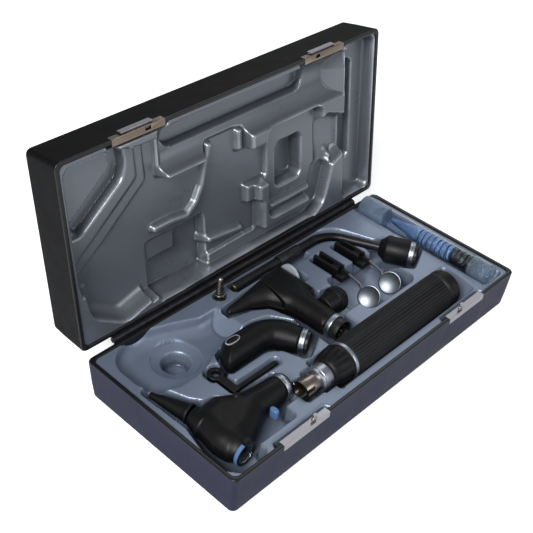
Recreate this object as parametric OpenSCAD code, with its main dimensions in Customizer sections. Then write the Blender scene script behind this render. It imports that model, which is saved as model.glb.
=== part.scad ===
/* [Case] */
// Length of the case along its hinge
case_w = 320; // [316:1:330]
// Depth of the case from latches to hinge
case_d = 148; // [146:1:154]
// Height of the base
base_h = 34.7; // [33:0.1:40]
// Height of the lid
lid_h = 35.9; // [34:0.1:42]
// Thickness of the shell walls
wall_t = 3.3; // [2.6:0.1:3.6]
// Thickness of the shell floors
floor_t = 2; // [1.5:0.1:2.6]
// How far the shells narrow on each side towards their floors
draft = 1.8; // [0.5:0.1:2.4]
// Radius of the upright outer corners
corner_r = 3; // [2:0.5:5]
// Gap between the two rims when the lid is shut
rim_gap = 0.3; // [0.2:0.05:0.6]
// How far the lid opens, in degrees
open_deg = 96.74; // [90:0.5:100]

/* [Trays] */
// Thickness of the formed tray sheet
sheet_t = 1.2; // [0.9:0.1:1.4]
// How far the tray's flat deck lies below the rim
deck_drop = 1.5; // [1.2:0.1:2]
// Gap between a tray and its shell
tray_gap = 0.2; // [0.1:0.05:0.4]
// Gap left between an instrument and its pocket
fit_gap = 0.3; // [0.25:0.05:0.4]

/* [Hinge] */
// Length of the hinge
hinge_w = 268; // [240:2:290]
// Distance of the hinge axis behind the back wall
hinge_back = 2.6; // [2.5:0.1:3]
// Outer radius of the hinge knuckles
knuckle_r = 2.2; // [2:0.05:2.3]
// Radius of the hinge pin
pin_r = 0.9; // [0.7:0.05:1.1]
// Radial clearance of the hinge pin
pin_gap = 0.05; // [0.02:0.01:0.1]
// Thickness of the hinge leaves
leaf_t = 0.8; // [0.6:0.1:1]
// Height of each hinge leaf
leaf_h = 13; // [11:0.5:16]
// Number of hinge knuckles, an odd number
knuckles = 9; // [7:2:11]

/* [Latches] */
// Distance of each latch from the middle of the case
latch_x = 92.3; // [88:0.5:96]
// Length of each latch plate
latch_w = 45; // [42:1:50]
// Thickness of the latch plates
plate_t = 0.6; // [0.5:0.05:0.8]
// Height of the latch hook above its plate
hook_h = 7.3; // [7:0.1:7.8]
// How far each latch slide travels
slide_travel = 3; // [2:0.5:4]

/* [Battery handle] */
// Radius of the grip
grip_r = 15.2; // [14.8:0.1:15.6]
// Length of the ribbed grip
grip_l = 114; // [110:1:116]
// Number of ribs round the grip
ribs = 40; // [24:4:48]
// Wall of the grip tube
grip_wall = 1.5; // [1.2:0.1:1.6]
// Radius of one battery cell
cell_r = 13; // [12:0.1:13.2]
// Length of one battery cell
cell_l = 49.5; // [48:0.5:50]

/* [Instrument heads] */
// Radius of the steel connector rings
ring_r = 10; // [9.6:0.1:10.4]
// Length of the steel connector rings
ring_l = 3; // [2.5:0.1:3.5]
// Radius of the viewing head's barrel
barrel_r = 12; // [11:0.1:12.4]
// Radius of the swivel lenses
lens_r = 9.5; // [9:0.1:10]
// Radius of the tongue light's body
tongue_r = 11.4; // [10.5:0.1:11.6]
// Radius of the bent light's thin arm
arm_r = 3.6; // [3.2:0.1:3.8]

/* [Small parts] */
// Outer radius of the speculum tube
tube_r = 8.8; // [8.4:0.1:9]
// Length of the clear speculum tube between its caps
tube_l = 96; // [90:1:98]
// Number of stacked blue specula
specula = 8; // [6:1:9]
// Radius of the throat mirrors
mirror_r = 9.3; // [8.5:0.1:10]
// Height of the spare lamp
lamp_h = 30; // [26:0.5:31]

/* [Hidden] */
$fn = 48;
eps = 0.01;
// How far a straight reaches into a bend, and how much thinner it is there
joint = 0.3;
joint_step = 0.05;

inner_w = case_w - 2 * wall_t;
inner_d = case_d - 2 * wall_t;
deck_z = base_h - deck_drop;
lid_z = base_h + rim_gap;
lid_deck_z = lid_z + deck_drop;
hinge_y = case_d / 2 + hinge_back;
hinge_z = base_h + rim_gap / 2;

shell_colour = [0.16, 0.16, 0.24];
base_grey = [0.45, 0.50, 0.57];
lid_grey = [0.33, 0.35, 0.38];
black = [0.08, 0.08, 0.09];
silver = [0.80, 0.82, 0.85];
nickel = [0.85, 0.84, 0.85];
blue = [0.35, 0.48, 0.68];
clear = [0.80, 0.87, 0.95];

// A closed outline with an arc at each corner: points are [x, y, corner radius],
// counter-clockwise, and grow moves every edge outwards
function unit(v) = v / norm(v);
function turned(v, a) = [v.x * cos(a) - v.y * sin(a), v.x * sin(a) + v.y * cos(a)];
function corner(before, here, after, grow) =
    let (
        d1 = unit([here.x - before.x, here.y - before.y]),
        d2 = unit([after.x - here.x, after.y - here.y]),
        n1 = [d1.y, -d1.x],
        n2 = [d2.y, -d2.x],
        tip = [here.x, here.y] + grow * (n1 + n2) / (1 + n1 * n2),
        turn = atan2(d1.x * d2.y - d1.y * d2.x, d1 * d2),
        side = turn > 0 ? 1 : -1,
        r = max(here.z + side * grow, 0.4),
        back = r * tan(abs(turn) / 2),
        centre = tip - back * d1 + side * r * [-d1.y, d1.x],
        steps = max(1, ceil(abs(turn) / 22))
    )
    [for (k = [0:steps]) centre + turned(tip - back * d1 - centre, turn * k / steps)];
function outline(points, grow = 0) =
    let (n = len(points))
    [for (i = [0:n - 1])
        each corner(points[(i + n - 1) % n], points[i], points[(i + 1) % n], grow)];
function box_outline(x0, x1, y0, y1, r) =
    [[x0, y0, r], [x1, y0, r], [x1, y1, r], [x0, y1, r]];

module slab(points, low, high, grow = 0) {
    translate([0, 0, low]) linear_extrude(high - low) polygon(outline(points, grow));
}

// A rod or cone between two points
module rod(from, to, r1, r2) {
    v = to - from;
    flat = norm([v.x, v.y]);
    translate(from) rotate([0, atan2(flat, v.z), atan2(v.y, v.x)])
        cylinder(h = norm(v), r1 = r1, r2 = r2);
}

// Everything on the lid is drawn shut and turned open about the hinge
module opened() {
    translate([0, hinge_y, hinge_z]) rotate([-open_deg, 0, 0])
        translate([0, -hinge_y, -hinge_z]) children();
}
// The lid's own frame: z rises from its rim into the lid
module lid_up() { translate([0, 0, lid_z]) children(); }

// Where the instruments lie, measured from the middle of the case
handle_y = -47;
handle_z = deck_z + 0.5;
handle_x = -24.4;
collar_x = -45;
collar_l = 17;
connector_l = 11;
bayonet_l = 14;
cap_l = 12;
tube_x = 138;
tube_z = deck_z + 2;
tube_back = 45.5;
lens_at = [-136.5, -57.5];
speculum_at = [-139, -13];
speculum_tip = [-147.5, 20];
oto_z = deck_z - 0.5;
oto_ring_x = -79;
oto_ring_y = -34;
nasal_x = -1.5;
nasal_beak_y = 44;
nasal_z = deck_z - 0.5;
nasal_r = 10.2;
nasal_top_r = 11.5;
nasal_ring_y = -15.5;
tongue_z = deck_z - 0.5;
tongue_y = 11.75;
bend_r = 20;
bend_x = -55.4;
bend_deg = 63.4;
arm_y = 63.2;
arm_z = deck_z - 0.5;
arm_bend_r = 26;
arm_ring_at = [113.7, -1.2];
mirror_xs = [47, 73];
mirror_y = -13;
mirror_tilt = 58;
lamp_at = [-41, 63];
lamp_r = 3.6;
lamp_sunk = 11;
key_ring_at = [-100.5, 5.5];
key_arm_y = -14;
key_z = deck_z - 3;

// Pocket outlines in the base tray, with their depth below the deck
handle_pocket = box_outline(collar_x - 0.4, 120, handle_y - grip_r - 1.6, handle_y + grip_r + 1.6, 3);
ring_pocket = box_outline(-57, -44, handle_y - ring_r - 1.2, handle_y + ring_r + 1.2, 1.5);
bayonet_pocket = box_outline(-72.5, -55, handle_y - 9.3, handle_y + 9.3, 1.5);
tube_pocket = box_outline(tube_x - tube_r - 1.8, tube_x + tube_r + 4.4, -66, 69, 3);
oto_pocket = [[-154.6, -43, 6], [-154.6, -60, 5], [-149, -68, 4], [-125.6, -68, 3], [-125.6, -59, 3],
    [-106, -59, 3], [-89, -59, 2], [-88, -48, 2], [-71.5, -47, 2], [-71.5, -21, 2],
    [-107, -20, 6], [-118, -10, 4], [-125, -9, 4], [-131.5, 0, 8], [-141.5, 27.5, 3],
    [-150.5, 26, 3], [-148.5, -18, 8]];
bowl_pocket = [[-104, 14, 20], [-82, 23.5, 12], [-66, 27, 8], [-52, 27, 1], [-52, 53.5, 2],
    [-70, 54, 14], [-92, 64, 16], [-117, 73, 24], [-147, 64, 22], [-147, 25, 22], [-128, 13, 16]];
nasal_pocket = [[-17, -30, 2], [14, -30, 2], [14, -12.5, 1], [35.5, -12.5, 4], [35.5, 14.5, 4],
    [20, 15, 2], [20, 33, 2], [27, 33, 2], [27, 57.5, 3], [10, 57.5, 3], [-10, 54, 8],
    [-51, 50.8, 3], [-51.5, 41, 3], [-33, 36, 10], [-21, 28, 10], [-16.6, 12, 8]];
tongue_pocket = [[-92.5, -2, 3], [-57, -2.2, 12], [-47.5, -10, 8], [-42.5, -25, 2],
    [-38.5, -27.5, 2], [-17.6, -16.5, 2], [-17, -8, 2], [-20.5, 8, 12], [-30, 22, 12],
    [-42, 25.7, 8], [-76, 25.7, 8], [-87, 19.5, 6], [-93.5, 4, 4]];
key_pocket = [[-105, -17.5, 3], [-58, -17.5, 2.6], [-58, -10.6, 2.6], [-96.2, -10.6, 2],
    [-96.2, -1, 2], [-93, 1, 3], [-93, 12.5, 5], [-108, 12.5, 5], [-108, 1, 3], [-105, -1, 2]];
arm_pocket = [[78, 58.4, 20], [93.3, 28.4, 4], [91, 20, 3], [94, -6, 8], [101, -15, 3],
    [127, -4, 4], [124, 22, 4], [107, 29, 8], [94, 62, 18], [81, 68.4, 14], [-28, 68.4, 3],
    [-28, 58.4, 3]];
finger_pocket = box_outline(24, 49, 52, 60, 2);
mirror_pocket = box_outline(35.5, 91.5, -23.5, 21.5, 6);
lamp_pocket_r = lamp_r + 0.7;
clip_xs = [52, 78];
clip_w = 12;

arm_dir = [cos(-63), sin(-63)];
arm_low = arm_ring_at - 19 * arm_dir;

// Shells

module shell(h) {
    half = [case_w / 2, case_d / 2];
    difference() {
        hull() {
            slab(box_outline(-half.x + draft, half.x - draft, -half.y + draft,
                half.y - draft, corner_r), 0, 0.5);
            slab(box_outline(-half.x, half.x, -half.y, half.y, corner_r), h - 2, h);
        }
        slab(box_outline(-half.x + wall_t, half.x - wall_t, -half.y + wall_t,
            half.y - wall_t, corner_r), floor_t, h + 1);
    }
}

// The places for the latch plates in a rim
module plate_seats(h) {
    for (side = [-1, 1]) translate([side * latch_x, 0, 0]) {
        translate([-latch_w / 2 - 0.3, -case_d / 2 - 1, h - plate_t - 0.1])
            cube([latch_w + 0.6, 1 + wall_t + 2, 2]);
        translate([-latch_w / 2 - 0.3, -case_d / 2 - 1, h - 5.6])
            cube([latch_w + 0.6, 1 + plate_t + 0.4, 7]);
    }
}

rivet_r = 1;
rivet_xs = [-118, -58, 0, 58, 118];
rivet_drop = 8;
module rivet_holes(z) {
    for (x = rivet_xs) translate([x, case_d / 2 - wall_t - 2, z])
        rotate([-90, 0, 0]) cylinder(h = wall_t + leaf_t + 4, r = rivet_r + 0.05);
}

module base_shell() {
    color(shell_colour) difference() {
        shell(base_h);
        plate_seats(base_h);
        rivet_holes(base_h - rivet_drop);
    }
}

module lid_shell() {
    color(shell_colour) opened() difference() {
        translate([0, 0, lid_z + lid_h]) mirror([0, 0, 1]) difference() {
            shell(lid_h);
            plate_seats(lid_h);
            for (side = [-1, 1]) sided(side) translate([hook_x, 0, 0]) {
                translate([-tongue_in - 0.4, -case_d / 2 - 1, lid_h - slide_z - 1.6])
                    cube([tongue_in + tongue_out + slide_travel + 0.8, 6, 1.7]);
                translate([-2.8, hook_y - 1.4, lid_h - 8]) cube([5.6, 4.4, 9]);
            }
        }
        rivet_holes(lid_z + rivet_drop);
    }
}

// Trays

module pockets(list, grow, low, top) {
    for (p = list) slab(p[0], -p[1] - low, top, grow);
}

module tray_sheet(list) {
    half = [inner_w / 2 - tray_gap, inner_d / 2 - tray_gap];
    difference() {
        union() {
            slab(box_outline(-half.x, half.x, -half.y, half.y, corner_r), -sheet_t, 0);
            intersection() {
                pockets(list, sheet_t, sheet_t, -eps);
                slab(box_outline(-half.x, half.x, -half.y, half.y, corner_r), -40, 1);
            }
        }
        pockets(list, 0, 0, 1);
        for (side = [-1, 1]) slab([[side * latch_x - 28, -case_d / 2, 1], [side * latch_x + 28,
            -case_d / 2, 1], [side * latch_x + 24.5, -66.5, 1.5], [side * latch_x - 24.5, -66.5, 1.5]],
            -sheet_t - 1, 1);
    }
}

handle_depth = deck_z - handle_z + grip_r + fit_gap;
base_pockets = [
    [handle_pocket, handle_depth],
    [ring_pocket, handle_depth - grip_r + ring_r + 0.8],
    [bayonet_pocket, handle_depth - grip_r + 8.6],
    [tube_pocket, tube_r + deck_z - tube_z + fit_gap],
    [oto_pocket, barrel_r + deck_z - oto_z + fit_gap],
    [bowl_pocket, 11],
    [nasal_pocket, nasal_top_r + deck_z - nasal_z + fit_gap],
    [tongue_pocket, tongue_r + deck_z - tongue_z + fit_gap],
    [key_pocket, 5.4],
    [arm_pocket, ring_r + 2 + deck_z - arm_z + fit_gap],
    [finger_pocket, 6],
    [mirror_pocket, 14],
    [box_outline(clip_xs[0] - clip_w / 2 - 0.8, clip_xs[0] + clip_w / 2 + 0.8, 14, 47.5, 1.5), 6.3],
    [box_outline(clip_xs[1] - clip_w / 2 - 0.8, clip_xs[1] + clip_w / 2 + 0.8, 14, 47.5, 1.5), 6.3]
];

// The funnel in the bowl, and the seat of the spare lamp
funnel_at = [-106, 42];
funnel_r = 19;
hole_r = 11;
bowl_depth = 11;
funnel_depth = 17;
hole_depth = 26;

module base_tray() {
    color(base_grey) translate([0, 0, deck_z]) difference() {
        union() {
            tray_sheet(base_pockets);
            translate([funnel_at.x, funnel_at.y, 0]) rotate_extrude()
                polygon([[0, -hole_depth - sheet_t], [hole_r + sheet_t, -hole_depth - sheet_t],
                    [hole_r + sheet_t, -funnel_depth], [funnel_r + sheet_t, -bowl_depth - sheet_t],
                    [funnel_r + sheet_t, -bowl_depth], [0, -bowl_depth]]);
            translate([lamp_at.x, lamp_at.y, -lamp_sunk - fit_gap - sheet_t])
                cylinder(h = lamp_sunk + fit_gap + sheet_t, r = lamp_pocket_r + sheet_t);
        }
        translate([funnel_at.x, funnel_at.y, 0]) rotate_extrude()
            polygon([[0, -hole_depth], [hole_r, -hole_depth], [hole_r, -funnel_depth],
                [funnel_r, -bowl_depth], [funnel_r, -bowl_depth + 1], [0, -bowl_depth + 1]]);
        translate([lamp_at.x, lamp_at.y, -lamp_sunk - fit_gap])
            cylinder(h = lamp_sunk + 2, r = lamp_pocket_r);
    }
}

// Pocket outlines in the lid tray
lid_pockets = [
    [box_outline(-75, 120, -65, -29.5, 3), 14.5],
    [box_outline(-62, 83, -63, -43, 8), 19],
    [box_outline(123, 153, -67.5, 68.6, 6), 10],
    [box_outline(125, 138, -52, 37, 6), 16],
    [[[-151, -64, 5], [-111, -64, 3], [-104, -58, 4], [-71, -58, 3], [-71, -24, 3], [-33, -24, 4],
        [-24, -36, 3], [4, -36, 3], [13, -34, 2], [13, 59.4, 3], [-80, 60, 6],
        [-118, 70, 16], [-146, 52, 16], [-151, 20, 6]], 13],
    [box_outline(-85, -28, 23, 69.5, 6), 22],
    [box_outline(12, 36, -16, 59.5, 3), 13],
    [box_outline(33, 92, -26, 48, 5), 9],
    [box_outline(47, 76, -8, 30, 6), 15],
    [[[90, 30, 3], [88, -12, 4], [100, -18, 3], [125, -9, 4], [125, 22, 4], [107, 30, 8],
        [96, 61, 12], [82, 69.5, 8], [-31, 69.5, 2], [-31, 59, 2], [78, 57, 8]], 12]
];

module lid_tray() {
    color(lid_grey) opened() translate([0, 0, lid_deck_z]) mirror([0, 0, 1])
        tray_sheet(lid_pockets);
}

// Hinge

function knuckle_x(i) = -hinge_w / 2 + i * hinge_w / knuckles;
module knuckle_row(first, r, gap) {
    for (i = [first:2:knuckles - 1]) translate([knuckle_x(i) + gap, hinge_y, hinge_z])
        rotate([0, 90, 0]) cylinder(h = hinge_w / knuckles - 2 * gap, r = r);
}

module leaf(first, other, low, high, rivet_z) {
    difference() {
        union() {
            translate([-hinge_w / 2, case_d / 2, low]) cube([hinge_w, leaf_t, high - low]);
            knuckle_row(first, knuckle_r, 0.15);
        }
        knuckle_row(other, knuckle_r + 0.3, -0.15);
        translate([-hinge_w / 2 - 1, hinge_y, hinge_z]) rotate([0, 90, 0])
            cylinder(h = hinge_w + 2, r = pin_r + pin_gap);
        rivet_holes(rivet_z);
    }
}

module base_hinge_leaf() {
    color(black) leaf(0, 1, hinge_z - leaf_h, base_h, base_h - rivet_drop);
}

module lid_hinge_leaf() {
    color(black) opened() leaf(1, 0, lid_z, hinge_z + leaf_h, lid_z + rivet_drop);
}

module hinge_pin() {
    color(silver) translate([-hinge_w / 2 - 0.5, hinge_y, hinge_z]) rotate([0, 90, 0])
        cylinder(h = hinge_w + 1, r = pin_r);
}

module rivets(z) {
    for (x = rivet_xs) translate([x, case_d / 2 - wall_t + 0.2, z]) rotate([-90, 0, 0]) {
        cylinder(h = wall_t + leaf_t - 0.2, r = rivet_r);
        translate([0, 0, wall_t + leaf_t - 0.2]) cylinder(h = 0.6, r1 = 2, r2 = 1.4);
    }
}
module base_rivets() { color(black) rivets(base_h - rivet_drop); }
module lid_rivets() { color(black) opened() rivets(lid_z + rivet_drop); }

// Latches

hook_x = 84.5;
hook_y = -case_d / 2 + 2.2;
slide_z = 3.5;
tongue_in = 6.6;
tongue_out = 3;
bar_w = 27;

// The left latch is the right one mirrored
module sided(side) {
    if (side > 0) children();
    else mirror([1, 0, 0]) children();
}

module angle_plate(up) {
    translate([latch_x - latch_w / 2, -case_d / 2 + 0.3, 0]) {
        translate([0, 0, up > 0 ? -plate_t : 0]) cube([latch_w, 5, plate_t]);
        translate([0, 0, up > 0 ? -5 : 0]) cube([latch_w, plate_t, 5]);
    }
}

module catch_plate(side) {
    color(nickel) sided(side) translate([0, 0, base_h]) {
        angle_plate(1);
        translate([hook_x, hook_y, -plate_t]) {
            translate([-0.9, -0.6, 0]) cube([1.8, 1.2, hook_h]);
            translate([-1.6, -0.6, hook_h - 1.4]) cube([3.2, 1.2, 1.4]);
        }
    }
}
module catch_plate_left() { catch_plate(-1); }
module catch_plate_right() { catch_plate(1); }

module latch_plate(side) {
    color(nickel) opened() lid_up() sided(side) difference() {
        angle_plate(-1);
        translate([hook_x - 2.5, hook_y - 1.2, -1]) cube([5, 2.6, 3]);
        translate([hook_x - tongue_in - 0.4, -case_d / 2 - 1, slide_z - 0.3])
            cube([tongue_in + tongue_out + slide_travel + 0.8, 3, 2.1]);
    }
}
module latch_plate_left() { latch_plate(-1); }
module latch_plate_right() { latch_plate(1); }

// A thumb bar outside the lid, and a tongue inside it whose keyhole holds the hook
module latch_slide(side) {
    color(nickel) opened() lid_up() sided(side) translate([0, -case_d / 2, slide_z]) {
        translate([latch_x - bar_w / 2, -1.3, -1.6]) cube([bar_w, 1.2, 4.4]);
        translate([hook_x, 0, 0]) difference() {
            translate([-tongue_in, -0.8, 0]) cube([tongue_in + tongue_out, 4.8, 1.2]);
            translate([-1.2, 1.2, -1]) cube([2.4, 2, 4]);
            translate([-slide_travel - 2.1, 1.2, -1]) cube([4.2, 2, 4]);
        }
    }
}
module latch_slide_left() { latch_slide(-1); }
module latch_slide_right() { latch_slide(1); }

// Battery handle, lying along X

module along_x(x) { translate([x, handle_y, handle_z]) rotate([0, 90, 0]) children(); }

rib_depth = 0.35;
module handle_grip() {
    n = 2 * ribs;
    color(black) along_x(handle_x) difference() {
        linear_extrude(grip_l) polygon([for (i = [0:n - 1])
            (grip_r - (i % 2) * rib_depth) * [cos(360 * i / n), sin(360 * i / n)]]);
        translate([0, 0, 3]) cylinder(h = grip_l, r = grip_r - grip_wall);
        translate([0, 0, -1]) cylinder(h = 5, r = 8);
    }
}

module handle_trim_ring() {
    color(silver) along_x(handle_x - 3.2) difference() {
        cylinder(h = 3, r = grip_r);
        translate([0, 0, -1]) cylinder(h = 5, r = 8);
    }
}

module handle_collar() {
    color(black) along_x(collar_x) difference() {
        union() {
            cylinder(h = 3, r1 = 11.6, r2 = grip_r - 0.6);
            translate([0, 0, 3]) cylinder(h = collar_l - 3, r = grip_r - 0.6);
        }
        translate([0, 0, -1]) cylinder(h = collar_l + 2, r = 8);
        for (i = [0:11]) rotate(i * 30) translate([grip_r - 0.1, 0, 4])
            cylinder(h = collar_l - 6, r = 1.1);
    }
}

module handle_ring() {
    color(silver) along_x(collar_x - connector_l - 0.1) difference() {
        union() {
            cylinder(h = connector_l, r = ring_r);
            cylinder(h = connector_l + collar_l + 3.6, r = 7.9);
        }
        translate([0, 0, -1]) cylinder(h = connector_l + collar_l + 6, r = 5);
    }
}

module handle_bayonet() {
    color(silver) along_x(collar_x - connector_l - bayonet_l - 0.1) difference() {
        cylinder(h = bayonet_l, r = 7.8);
        translate([0, 0, -1]) cylinder(h = bayonet_l + 2, r = 6.2);
        for (i = [0:2]) rotate(i * 120) translate([6, -1.2, -1]) cube([3, 2.4, 8]);
    }
}

module handle_contact_pin() {
    color("gold") along_x(collar_x - connector_l - 6) {
        cylinder(h = connector_l + collar_l + 5, r = 1.2);
        translate([0, 0, 6.1]) cylinder(h = 3, r = 4.9);
        translate([0, 0, 30]) cylinder(h = 3, r = 4.9);
    }
}

module handle_cap() {
    color(black) along_x(handle_x + grip_l + 0.15) {
        cylinder(h = cap_l - 3, r = grip_r - 0.2);
        translate([0, 0, cap_l - 3]) cylinder(h = 3, r1 = grip_r - 0.2, r2 = grip_r - 3);
        translate([0, 0, -5]) cylinder(h = 5 + eps, r = grip_r - grip_wall - 0.1);
    }
}

module battery_cells() {
    color("goldenrod") for (i = [0:1]) along_x(handle_x + 3.3 + i * (cell_l + 0.1)) {
        translate([0, 0, 1.2]) cylinder(h = cell_l - 1.2, r = cell_r);
        cylinder(h = 1.3, r = 3.5);
    }
}

spring_x = handle_x + 3.5 + 2 * cell_l + 0.1;
module battery_spring() {
    color(silver) along_x(spring_x) difference() {
        cylinder(h = handle_x + grip_l - 5 - spring_x, r = 7);
        translate([0, 0, -1]) cylinder(h = 40, r = 5.8);
    }
}

// Otoscope head

function at(p, z) = [p.x, p.y, z];
lens_dir = unit(speculum_at - lens_at);
lens_side = [lens_dir.y, -lens_dir.x];
barrel_l = norm(speculum_at - lens_at);
neck_x = -134;
neck_l = oto_ring_x - neck_x;

// A turned piece lying in the plane of the deck: its outline is [radius, distance]
module spun(start, dir, z, profile) {
    translate([start.x, start.y, z]) rotate([0, 90, atan2(dir.y, dir.x)])
        rotate_extrude() polygon(profile);
}

module otoscope_body() {
    color(black) difference() {
        union() {
            spun(lens_at, lens_dir, oto_z, [[0, 0], [lens_r + 0.5, 0], [barrel_r, 16],
                [8.6, barrel_l - 6], [7.6, barrel_l], [0, barrel_l]]);
            spun([neck_x, oto_ring_y], [1, 0], oto_z, [[0, 0], [11.4, 0], [10.6, 30],
                [ring_r, neck_l], [0, neck_l]]);
            rod([-113, -27, oto_z + 3], [-113, -27, oto_z + 13.2], 2.2, 1.8);
        }
        rod(at(lens_at - lens_dir, oto_z), at(speculum_at + lens_dir, oto_z), 6, 4.2);
    }
}

module otoscope_ring() {
    color(silver) rod([oto_ring_x + 0.05, oto_ring_y, oto_z],
        [oto_ring_x + 0.05 + ring_l, oto_ring_y, oto_z], ring_r, ring_r);
}

module socket(h) {
    difference() {
        cylinder(h = h, r = ring_r - 1.4);
        translate([0, 0, 0.6]) cylinder(h = h, r = ring_r - 2.6);
    }
    cylinder(h = h, r = 1.3);
}

module otoscope_socket() {
    color(black) translate([oto_ring_x + 0.1 + ring_l, oto_ring_y, oto_z]) rotate([0, 90, 0])
        socket(3.4);
}

module ear_speculum() {
    axis = unit(speculum_tip - speculum_at);
    base = speculum_at + 1.8 * axis;
    color(black) difference() {
        rod(at(base, oto_z), at(speculum_tip, oto_z), 7.4, 2.3);
        rod(at(base - axis, oto_z), at(speculum_tip + axis, oto_z), 6.3, 1.3);
    }
}

module otoscope_lens_frame() {
    color(blue) difference() {
        union() {
            rod(at(lens_at - 3.1 * lens_dir, oto_z), at(lens_at - 0.1 * lens_dir, oto_z),
                lens_r, lens_r);
            translate(at(lens_at - 3.1 * lens_dir, oto_z + lens_r - 1.6))
                rotate([0, 90, atan2(lens_dir.y, lens_dir.x)])
                translate([-1.5, -3, 0]) cube([3, 6, 3]);
        }
        rod(at(lens_at - 4 * lens_dir, oto_z), at(lens_at + lens_dir, oto_z), lens_r - 2, lens_r - 2);
    }
}

module otoscope_lens() {
    color(clear) rod(at(lens_at - 2.6 * lens_dir, oto_z), at(lens_at - 1.2 * lens_dir, oto_z),
        lens_r - 2.05, lens_r - 2.05);
}

module otoscope_lever() {
    color(blue) translate([-103, -55.6, oto_z - 2]) {
        cube([8, 10.2, 9]);
        translate([8, 1.5, 1]) cube([4, 6, 7]);
    }
}

// Nasal speculum head

module nasal_body() {
    color(black) difference() {
        union() {
            rod([nasal_x, nasal_ring_y, nasal_z], [nasal_x, 34, nasal_z], nasal_r, nasal_r);
            rod([nasal_x, 33, nasal_z], [nasal_x, nasal_beak_y, nasal_z], nasal_r, 8);
            rod([17, nasal_beak_y, nasal_z], [2, nasal_beak_y, nasal_z], nasal_top_r, nasal_top_r);
            rod([2.1, nasal_beak_y, nasal_z], [-16, nasal_beak_y + 0.4, nasal_z], nasal_top_r - 0.1, 7.4);
            rod([-15.9, nasal_beak_y + 0.4, nasal_z], [-48, nasal_beak_y + 1.6, nasal_z], 7.4, 3.4);
            translate([6, 17, nasal_z - 8]) cube([11, 24, 16]);
        }
        rod([18, nasal_beak_y, nasal_z], [-50, nasal_beak_y + 1.6, nasal_z], 8.4, 1.8);
        translate([-52, 30, nasal_z + 0.3]) cube([38, 30, 20]);
    }
}

module nasal_blade() {
    color(black) difference() {
        rod([-14.4, nasal_beak_y + 0.4, nasal_z], [-48, nasal_beak_y + 1.6, nasal_z], 7.2, 3.4);
        rod([-10, nasal_beak_y, nasal_z], [-50, nasal_beak_y + 1.6, nasal_z], 5.6, 1.8);
        translate([-52, 30, nasal_z - 20]) cube([42, 30, 20.6]);
    }
}

module nasal_ring() {
    color(silver) rod([nasal_x + 0.8, nasal_ring_y - 0.05, nasal_z],
        [nasal_x + 0.8, nasal_ring_y - 0.05 - ring_l, nasal_z], ring_r, ring_r);
}

module nasal_socket() {
    color(black) translate([nasal_x + 0.8, nasal_ring_y - 0.1 - ring_l, nasal_z])
        rotate([90, 0, 0]) socket(7.5);
}

module nasal_knob() {
    color(black) {
        rod([9.2, 1.5, nasal_z], [20, 1.5, nasal_z], 8, 9.4);
        rod([19.9, 1.5, nasal_z], [26, 1.5, nasal_z], 10.4, 10.4);
        rod([25.9, 1.5, nasal_z], [32, 1.5, nasal_z], 10.4, 5.5);
    }
}

module nasal_lens() {
    color(clear) rod([17.3, nasal_beak_y + 1, nasal_z], [19.6, nasal_beak_y + 1, nasal_z],
        lens_r, lens_r);
}

// Tongue blade light

bend_at = [bend_x, tongue_y - bend_r];
bend_dir = [cos(-bend_deg), sin(-bend_deg)];
bend_end = bend_at + bend_r * [sin(bend_deg), cos(bend_deg)];
tongue_ring_at = bend_end + 14 * bend_dir;
function out(p, d) = p + d * bend_dir;

module tongue_light_body() {
    color(black) difference() {
        union() {
            rod([-91.5, tongue_y, tongue_z], [bend_x + joint, tongue_y, tongue_z],
                tongue_r - joint_step, tongue_r - joint_step);
            translate(at(bend_at, tongue_z)) rotate(90 - bend_deg)
                rotate_extrude(angle = bend_deg) translate([bend_r, 0]) circle(r = tongue_r);
            rod(at(out(bend_end, -joint), tongue_z), at(tongue_ring_at, tongue_z),
                tongue_r - joint_step, ring_r);
        }
        translate([-92, tongue_y - 13, tongue_z + 1]) rotate([0, -38, 0]) cube([30, 26, 30]);
        translate([-93, tongue_y - 7.6, tongue_z - 20]) rotate(53) cube([40, 20, 40]);
        translate([-99, tongue_y - 2, tongue_z - 3]) cube([30, 30, 2]);
    }
}

module tongue_light_tab() {
    color(black) translate([-84, tongue_y - 0.6, tongue_z + tongue_r + 0.05])
        cube([14, 4.4, 1.2]);
}

module tongue_light_ring() {
    color(silver) rod(at(out(tongue_ring_at, 0.05), tongue_z),
        at(out(tongue_ring_at, 0.05 + ring_l), tongue_z), ring_r, ring_r);
}

module tongue_light_socket() {
    color(black) translate(at(out(tongue_ring_at, 0.1 + ring_l), tongue_z))
        rotate([0, 90, -bend_deg]) socket(3.4);
}

// Bent arm light

arm_back = (arm_y - arm_ring_at.y) / sin(63);
arm_corner = arm_ring_at - arm_back * arm_dir;
arm_reach = arm_bend_r * tan(63 / 2);

module arm_light_tube() {
    start = arm_corner.x - arm_reach;
    turn_end = arm_corner + arm_reach * arm_dir;
    color(black) {
        rod([-26, arm_y, arm_z], [start + joint, arm_y, arm_z],
            arm_r - joint_step, arm_r - joint_step);
        translate([start, arm_y - arm_bend_r, arm_z]) rotate(90 - 63)
            rotate_extrude(angle = 63) translate([arm_bend_r, 0]) circle(r = arm_r);
        rod(at(turn_end - joint * arm_dir, arm_z), at(arm_low, arm_z),
            arm_r - joint_step, arm_r - joint_step);
    }
}

module arm_light_sleeve() {
    color(black) translate([24, arm_y, arm_z]) rotate([0, 90, 0]) difference() {
        cylinder(h = 24, r = arm_r + 1);
        translate([0, 0, -1]) cylinder(h = 26, r = arm_r + 0.05);
    }
}

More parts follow.
